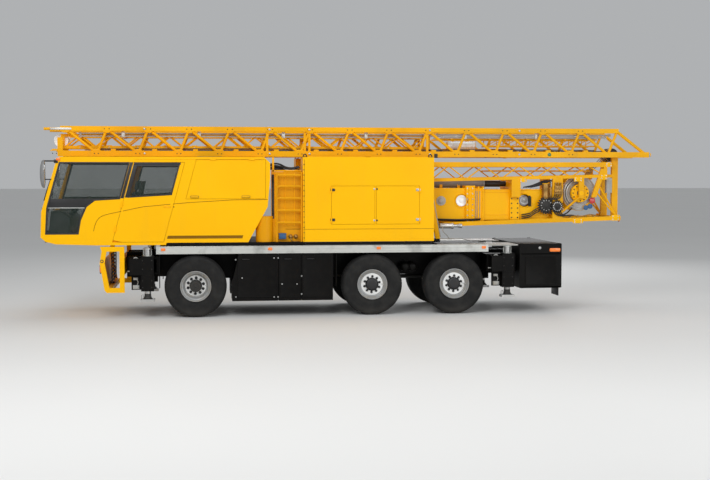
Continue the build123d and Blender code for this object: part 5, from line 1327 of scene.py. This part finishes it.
def tail():
    """The tail frame's joint plates, bolts, ropes, sheaves, box, catwalk, lamps and valves."""
    head = "mast_head"
    plates, heads = [], []
    for side in (-1, 1):
        for x, z, wide, tall in ((5.83, 2.02, 0.20, 0.13), (5.55, 2.93, 0.16, 0.12),
                                 (4.96, 2.88, 0.20, 0.10), (4.96, 1.95, 0.24, 0.10),
                                 (3.70, 2.86, 0.16, 0.09), (5.66, 3.205, 0.15, 0.10)):
            joint = block((x - wide / 2, side * 0.524 - 0.005, z - tall / 2),
                          (x + wide / 2, side * 0.524 + 0.005, z + tall / 2))
            round_edges(joint, along(RIGHT), 0.02, 2)
            plates.append(joint)
            heads.append(bolts([(x + dx, side * 0.529, z + dz)
                                for dx in (-wide * 0.32, wide * 0.32)
                                for dz in (-tall * 0.25, tall * 0.25)], RIGHT * side, 0.010))
    done("tail_joints", plates, head, "yellow", 0.003)
    done("tail_bolts", heads, head, "steel", 0)
    sheaves = [turned((5.852, y, 3.425), RIGHT,
                      [(-0.022, 0.1515), (-0.016, 0.1515), (-0.004, 0.136), (0.004, 0.136),
                       (0.016, 0.1515), (0.022, 0.1515), (0.0235, 0.135), (0.0215, 0.06),
                       (0.032, 0.05), (-0.032, 0.05), (-0.0215, 0.06), (-0.0235, 0.135),
                       (-0.022, 0.1515)], 40) for y in (-0.15, 0.0, 0.15)]
    done("jib_root_sheaves", sheaves, head, "cast", 0)
    ropes = [rod((5.715, y, 3.380), (5.17, y * 0.8, 2.816), 0.008, 8) for y in (-0.15, 0.0, 0.15)]
    done("hoist_ropes", ropes, head, "rope", 0.001)
    box = block((5.655, -0.405, 2.575), (5.783, -0.300, 2.903))
    work_on(box, "FACE")
    bpy.ops.mesh.bisect(plane_co=(0, 0, 2.62), plane_no=(0, 0, 1))
    for number in range(1, 10):
        bpy.ops.mesh.select_all(action="SELECT")
        bpy.ops.mesh.bisect(plane_co=(0, 0, 2.62 + 0.026 * number), plane_no=(0, 0, 1))
    leave()
    step(box, lambda spot, way: way.y < -0.9 and 2.62 < spot.z < 2.86, 0.007, 0.006, True)
    done("resistor_box", box, head, "pale", 0.002)
    bars = [rod((2.95, side * 0.30, 3.065), (5.30, side * 0.30, 3.065), 0.016, 12)
            for side in (-1, 1)]
    rung = rod((3.00, -0.30, 3.065), (3.00, 0.30, 3.065), 0.009, 8)
    bars.append(spread(rung, [(0.11 * n, 0, 0) for n in range(1, 21)]))
    done("catwalk", bars, head, "jib_yellow", 0.002)
    lamp = turned((5.915, -0.48, 1.965), REAR,
                  [(0, 0.04), (0.014, 0.04), (0.02, 0.034), (0.030, 0.024), (0.033, 0.01)], 24)
    done("tail_lantern", lamp, head, "red_lens", 0, both="tail_lantern_right")
    ledge = []
    for x in (4.62, 4.80, 4.98, 5.16, 5.34):
        ledge.append(block((x - 0.04, -0.515, 1.985), (x + 0.04, -0.40, 2.03)))
        ledge.append(turned((x, -0.46, 2.028), UP,
                            [(0, 0.022), (0.03, 0.022), (0.034, 0.014), (0.06, 0.012)], 12))
    ledge.append(hose([(4.60, -0.44, 2.04), (4.80, -0.43, 2.09), (5.05, -0.45, 2.045),
                       (5.28, -0.43, 2.10), (5.50, -0.44, 2.045)], 0.012, 0.05))
    done("tail_valves", ledge, head, "brass", 0.003)


# ---- Jib --------------------------------------------------------------------------------------
JIB_NODES = [5.850 - 0.860 * number for number in range(15)]     # where the lacing meets
SPLICES = (1.541, -1.095, -1.953, -4.60, 3.55)
CHORD_Y, CHORD_FACE = 0.510, 0.556                   # a chord's middle and its outer face
BAR_Y, CABLE_Y = 0.428, 0.446


def jib():
    """Joint plates, splice flanges, pendant bars, cables, the hoist drum, rack and lamps."""
    top = "jib"
    plates = []
    for side in (-1, 1):
        for x in JIB_NODES[1:]:
            for outline in ([(x - 0.10, 3.905), (x + 0.10, 3.905), (x + 0.045, 3.862),
                             (x - 0.045, 3.862)],
                            [(x - 0.32, 3.480), (x - 0.12, 3.480), (x - 0.17, 3.520),
                             (x - 0.26, 3.520)]):
                plates.append(side_plate(outline, side * CHORD_FACE, side * -0.086))
    done("jib_joints", plates, top, "jib_yellow", 0.002)
    rivets = []
    for side in (-1, 1):
        spots = [(x + shift, side * 0.5605, z) for x in JIB_NODES[1:]
                 for shift, z in ((-0.05, 3.945), (0.05, 3.945), (-0.26, 3.425), (-0.18, 3.425))]
        rivets.append(bolts(spots, RIGHT * side, 0.008))
    done("jib_bolts", rivets, top, "cast", 0)
    flanges = []
    for x in SPLICES:
        for side in (-1, 1):
            for low, high in ((3.357, 3.493), (3.893, 3.999)):
                for shift in (-0.032, 0.012):
                    flanges.append(block((x + shift, side * CHORD_Y - 0.056, low),
                                         (x + shift + 0.020, side * CHORD_Y + 0.056, high)))
    done("jib_flanges", flanges, top, "jib_yellow", 0.003)
    pins = [turned((x + 0.05, side * 0.558, z), RIGHT * side,
                   [(-0.01, 0.022), (0.012, 0.022), (0.016, 0.017), (0.016, 0.008),
                    (0.022, 0.007)], 16) for x in SPLICES for side in (-1, 1)
            for z in (3.425, 3.946)]
    done("jib_pins", pins, top, "steel", 0)
    for word, side in SIDES.items():
        bars = []
        for start, end, z in ((-5.89, 1.70, 3.852), (-5.89, 1.50, 3.792), (1.78, 5.70, 3.856),
                              (1.90, 5.60, 3.806)):
            bars.append(rod((start, side * BAR_Y, z), (end, side * BAR_Y, z), 0.017, 12))
            for x in (start, end):
                bars.append(turned((x, side * BAR_Y - 0.015, z), RIGHT,
                                   [(0, 0.032), (0.03, 0.032), (0.03, 0.014), (0.0, 0.014),
                                    (0, 0.032)], 20))
        done(f"pendant_bars_{word}", bars, top, "pale", 0.002)
        clips = [block((x - 0.035, side * BAR_Y - 0.026, 3.765),
                       (x + 0.035, side * BAR_Y + 0.026, 3.895))
                 for x in (-5.0, -3.4, -1.6, 0.2, 2.4, 4.02, 5.2)]
        done(f"bar_clips_{word}", clips, top, "aluminium", 0.006)
        tip_bar = panel((-6.49, side * CHORD_FACE - 0.014, 3.918),
                        (-6.06, side * CHORD_FACE + 0.014, 3.962), FRONT, 0.006, 0.010)
        done(f"front_bar_{word}", tip_bar, top, "aluminium", 0.004)
        run = []
        for number, z in enumerate((3.500, 3.524)):
            shift = 0.3 * number
            run.append(hose([(-5.80 + shift, side * CABLE_Y, z), (-2.4, side * CABLE_Y, z + 0.012),
                             (1.2, side * CABLE_Y, z), (3.6, side * CABLE_Y, z + 0.010),
                             (5.65 - shift, side * CABLE_Y, z)], 0.009, 0.3))
        done(f"jib_cables_{word}", run, top, "trim", 0)
    drum = [(0, 0.098), (0.012, 0.112), (0.026, 0.112), (0.030, 0.100)]
    for number in range(14):
        place = 0.045 + 0.038 * number
        drum += [(place, 0.099), (place + 0.010, 0.105), (place + 0.024, 0.105),
                 (place + 0.034, 0.099)]
    drum += [(0.600, 0.100), (0.606, 0.112), (0.622, 0.112), (0.636, 0.080)]
    done("hoist_drum", turned((2.088, 0, 3.617), REAR, drum, 36), top, "disc", 0)
    rack = []
    for side in (-1, 1):
        rack.append(block((1.80, side * 0.30 - 0.018, 3.745), (5.45, side * 0.30 + 0.018, 3.781)))
        rack.append(block((2.95, side * 0.30 - 0.014, 3.600), (5.45, side * 0.30 + 0.014, 3.628)))
    post = rod((3.00, -0.30, 3.61), (3.00, -0.30, 3.75), 0.011, 8)
    posts = spread(post, [(0.30 * n, 0.60 * m, 0) for n in range(9) for m in (0, 1) if n or m])
    brace = rod((3.02, -0.30, 3.62), (3.28, -0.30, 3.75), 0.009, 8)
    braces = spread(brace, [(0.30 * n, 0.60 * m, 0) for n in range(8) for m in (0, 1) if n or m])
    tie = rod((2.10, -0.46, 3.763), (2.10, 0.46, 3.763), 0.014, 8)
    ties = spread(tie, [(0.86 * n, 0, 0) for n in range(1, 4)])
    done("inner_rack", rack + [posts, braces, ties], top, "jib_yellow", 0.002)
    socket = panel((1.690, -0.574, 3.345), (1.762, -CHORD_FACE, 3.435), LEFT, 0.010, 0.006)
    done("jib_socket", socket, top, "cast", 0.004)
    lamp = turned((4.281, -0.558, 3.425), LEFT,
                  [(0, 0.040), (0.008, 0.040), (0.012, 0.032), (0.020, 0.026), (0.024, 0.012)], 24)
    done("jib_lamp", lamp, top, "green_lens", 0)
    caps = [turned((6.582, side * CHORD_Y, 3.425), REAR,
                   [(0, 0.041), (0.030, 0.041), (0.036, 0.034), (0.045, 0.030), (0.048, 0.016)],
                   24) for side in (-1, 1)]
    done("nose_caps", caps, top, "pale", 0)


def jib_tip():
    """Pale rope sheaves, joint plates and bolts on the folded tip."""
    tip = "jib_tip_body"
    sheaves = [turned((-6.300, y, 3.700), RIGHT,
                      [(-0.021, 0.1465), (-0.014, 0.1465), (-0.004, 0.128), (0.004, 0.128),
                       (0.014, 0.1465), (0.021, 0.1465), (0.0225, 0.130), (0.0205, 0.120),
                       (0.0205, 0.060), (0.030, 0.050), (0.030, 0.0315), (-0.030, 0.0315),
                       (-0.030, 0.050), (-0.0205, 0.060), (-0.0205, 0.120), (-0.0225, 0.130),
                       (-0.021, 0.1465)], 40) for y in (-0.300, -0.100, 0.100, 0.300)]
    done("tip_sheaves", sheaves, tip, "disc", 0)
    plates, heads = [], []
    for side in (-1, 1):
        for number in range(12):
            x = -5.9 + 0.6 * number
            plates.append(block((x - 0.06, side * 0.350 - 0.033, 3.586),
                                (x + 0.06, side * 0.350 + 0.033, 3.604)))
        heads.append(bolts([(-5.9 + 0.6 * n, side * 0.381, 3.56) for n in range(12)], RIGHT * side,
                           0.008))
    done("tip_joints", plates, tip, "jib_yellow", 0.002)
    done("tip_bolts", heads, tip, "steel", 0)


def trolley():
    """The two rope sheaves in the trolley's frame."""
    low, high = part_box("trolley")
    middle = (low + high) / 2
    made = [turned((middle.x + shift, -0.02, middle.z), RIGHT,
                   [(0, 0.050), (0.006, 0.050), (0.014, 0.042), (0.026, 0.042), (0.034, 0.050),
                    (0.040, 0.050), (0.040, 0.016), (0.0, 0.016), (0, 0.050)], 28)
            for shift in (-0.16, 0.16)]
    done("trolley_sheaves", made, "trolley_body", "cast", 0)


# ---- Outriggers -------------------------------------------------------------------------------
JACK_Y = 1.155


def outriggers():
    """Balls and webs on the feet, rod guides, casing ribs and valves, and the deck's extension."""
    for axle, x in (("front", -4.482), ("rear", 3.183)):
        for word, side in SIDES.items():
            y = side * JACK_Y
            jack, beam = f"jack_{axle}_{word}_body", f"beam_{axle}_{word}"
            ball = turned((x, y, 0.392), UP, [(0, 0.105), (0.010, 0.105), (0.022, 0.085),
                                              (0.050, 0.076), (0.056, 0.070), (0.110, 0.0675),
                                              (0.116, 0.0655)], 32)
            done(f"foot_ball_{axle}_{word}", ball, jack, "cast", 0)
            pad = []
            for dx, dy in ((-0.11, 0), (0.11, 0), (0, -0.075), (0, 0.075)):
                pad.append(plate([(x, y, 0.392), (x + dx * 1.2, y + dy * 1.2, 0.392),
                                  (x + dx * 0.62, y + dy * 0.62, 0.455), (x, y, 0.455)],
                                 (0.012 if dy else 0, 0.012 if dx else 0, 0)))
            pad.append(hose([(x - 0.13, y, 0.394), (x - 0.13, y, 0.47), (x - 0.10, y, 0.49),
                             (x - 0.08, y, 0.44)], 0.009, 0.02))
            done(f"foot_webs_{axle}_{word}", pad, jack, "steel", 0.002)
            collar = turned((x, y, 1.284), UP, [(0, 0.0675), (0.0, 0.098), (0.016, 0.098),
                                                (0.022, 0.090), (0.022, 0.0675), (0.0, 0.0675)],
                            32)
            guide = turned((x, y, 1.430), UP, [(0, 0.068), (0, 0.092), (0.016, 0.092),
                                               (0.020, 0.086), (0.020, 0.068), (0, 0.068)], 32)
            rods = [rod((x + dx, y, 1.30), (x + dx, y, 1.436), 0.0085, 10)
                    for dx in (-0.081, 0.081)]
            done(f"rod_guide_{axle}_{word}", [collar, guide] + rods, beam, "aluminium", 0)
            out = side * 1.2625
            ribs = [block((x + dx, out - 0.005, 0.60), (x + dx + 0.012, out + 0.005, 1.25))
                    for dx in (-0.118, 0.106)]
            ribs.append(block((x - 0.12, out - 0.005, 0.885), (x + 0.12, out + 0.005, 0.900)))
            done(f"casing_ribs_{axle}_{word}", ribs, beam, "black", 0.002)
            done(f"casing_bolts_{axle}_{word}",
                 bolts([(x + dx, out, z) for dx in (-0.10, 0.09)
                        for z in (0.64, 0.78, 1.02, 1.20)], RIGHT * side, 0.009), beam, "cast", 0)
            start = x - 0.135
            fit = [turned((start - 0.11, side * 1.12, 1.205), RIGHT * side,
                          [(0, 0.062), (0.030, 0.062), (0.036, 0.054), (0.036, 0.040),
                           (0.010, 0.036)], 28),
                   hose([(start - 0.10, side * 1.13, 1.14), (start - 0.10, side * 1.13, 0.97),
                         (start - 0.28, side * 1.13, 0.97)], 0.014, 0.03),
                   block((start - 0.17, side * 1.12 - 0.03, 0.60),
                         (start - 0.04, side * 1.12 + 0.03, 0.68)),
                   block((start - 0.16, side * 1.12 - 0.03, 0.79),
                         (start - 0.07, side * 1.12 + 0.03, 0.84)),
                   hose([(start - 0.08, side * 1.12, 0.79), (start - 0.06, side * 1.14, 0.74),
                         (start - 0.08, side * 1.12, 0.68)], 0.010, 0.02)]
            step(fit[2], facing(RIGHT * side), 0.012, 0.008)
            step(fit[3], facing(RIGHT * side), 0.010, 0.006)
            done(f"outrigger_valves_{axle}_{word}", fit, beam, "pale", 0.003)
            back = panel((start - 0.20, side * 1.085 - 0.006, 0.58),
                         (start + 0.01, side * 1.085 + 0.006, 1.27), RIGHT * side, 0.02, -0.003)
            done(f"valve_board_{axle}_{word}", back, beam, "black", 0.003)
    plank = panel((2.742, -1.235, 1.455), (3.40, -0.42, 1.482), UP, 0.03, -0.004)
    done("deck_extension", plank, "carrier", "pale", 0.003, both="deck_extension_right")


# ---- Stage ------------------------------------------------------------------------------------
def backdrop():
    """A pale floor that is much larger than the crane."""
    bpy.ops.object.select_all(action="DESELECT")
    bpy.ops.mesh.primitive_plane_add(size=600, location=(0, 0, 0))
    floor = bpy.context.object
    floor.name = "floor"
    material, wire, place, shader = new_material("floor")
    cloud = noise(wire, place, 0.2, 3.0)
    feed(wire, shader, Base_Color=mixed(wire, cloud, (0.7, 0.7, 0.69), (0.74, 0.74, 0.73)),
         Roughness=0.8)
    floor.data.materials.append(material)


def lights():
    """A pale sky, a key from the left and front, a broad fill, and lamps above and behind."""
    world = bpy.data.worlds.new("sky")
    bpy.context.scene.world = world
    world.use_nodes = True
    sky = world.node_tree.nodes["Background"]
    sky.inputs["Color"].default_value = (0.86, 0.88, 0.9, 1)
    sky.inputs["Strength"].default_value = 0.5
    for name, place, size, power in (("key", (-7, -15, 12), 9, 1500),
                                     ("fill", (9, -16, 6), 10, 700), ("top", (0, 2, 16), 12, 500),
                                     ("back", (6, 14, 9), 8, 500)):
        data = bpy.data.lights.new(name, "AREA")
        data.size, data.energy = size, power
        lamp = bpy.data.objects.new(name, data)
        bpy.context.collection.objects.link(lamp)
        lamp.location = place
        aim = Vector((0, 0, 1.8)) - Vector(place)
        lamp.rotation_euler = aim.to_track_quat("-Z", "Y").to_euler()


CAMERA_TURN = math.radians(7.4)      # to the right of straight across the machine
CAMERA_TILT = math.radians(3.0)      # down
CAMERA_DISTANCE = 25.0
CAMERA_AIM = Vector((-0.146, -1.25, 2.908))      # as high as the camera itself


def camera():
    """A long lens at the left side, turned a little and tilted down."""
    data = bpy.data.cameras.new("camera")
    data.sensor_width, data.lens = 36.0, 60.0
    data.clip_end = 500
    eye = bpy.data.objects.new("camera", data)
    bpy.context.collection.objects.link(eye)
    level = Vector((math.sin(CAMERA_TURN), math.cos(CAMERA_TURN), 0))
    look = level * math.cos(CAMERA_TILT) - UP * math.sin(CAMERA_TILT)
    eye.location = CAMERA_AIM - level * CAMERA_DISTANCE
    eye.rotation_euler = look.to_track_quat("-Z", "Y").to_euler()
    bpy.context.scene.camera = eye
    bpy.context.scene.view_settings.view_transform = "Standard"


finish_nodes()
backdrop()
lights()
camera()
wheels()
cab_windows()
cab_outside()
seats()
controls()
upper_works()
deck()
lockers()
bumper()
under_carriage()
mast()
drives()
tail()
jib()
jib_tip()
trolley()
outriggers()
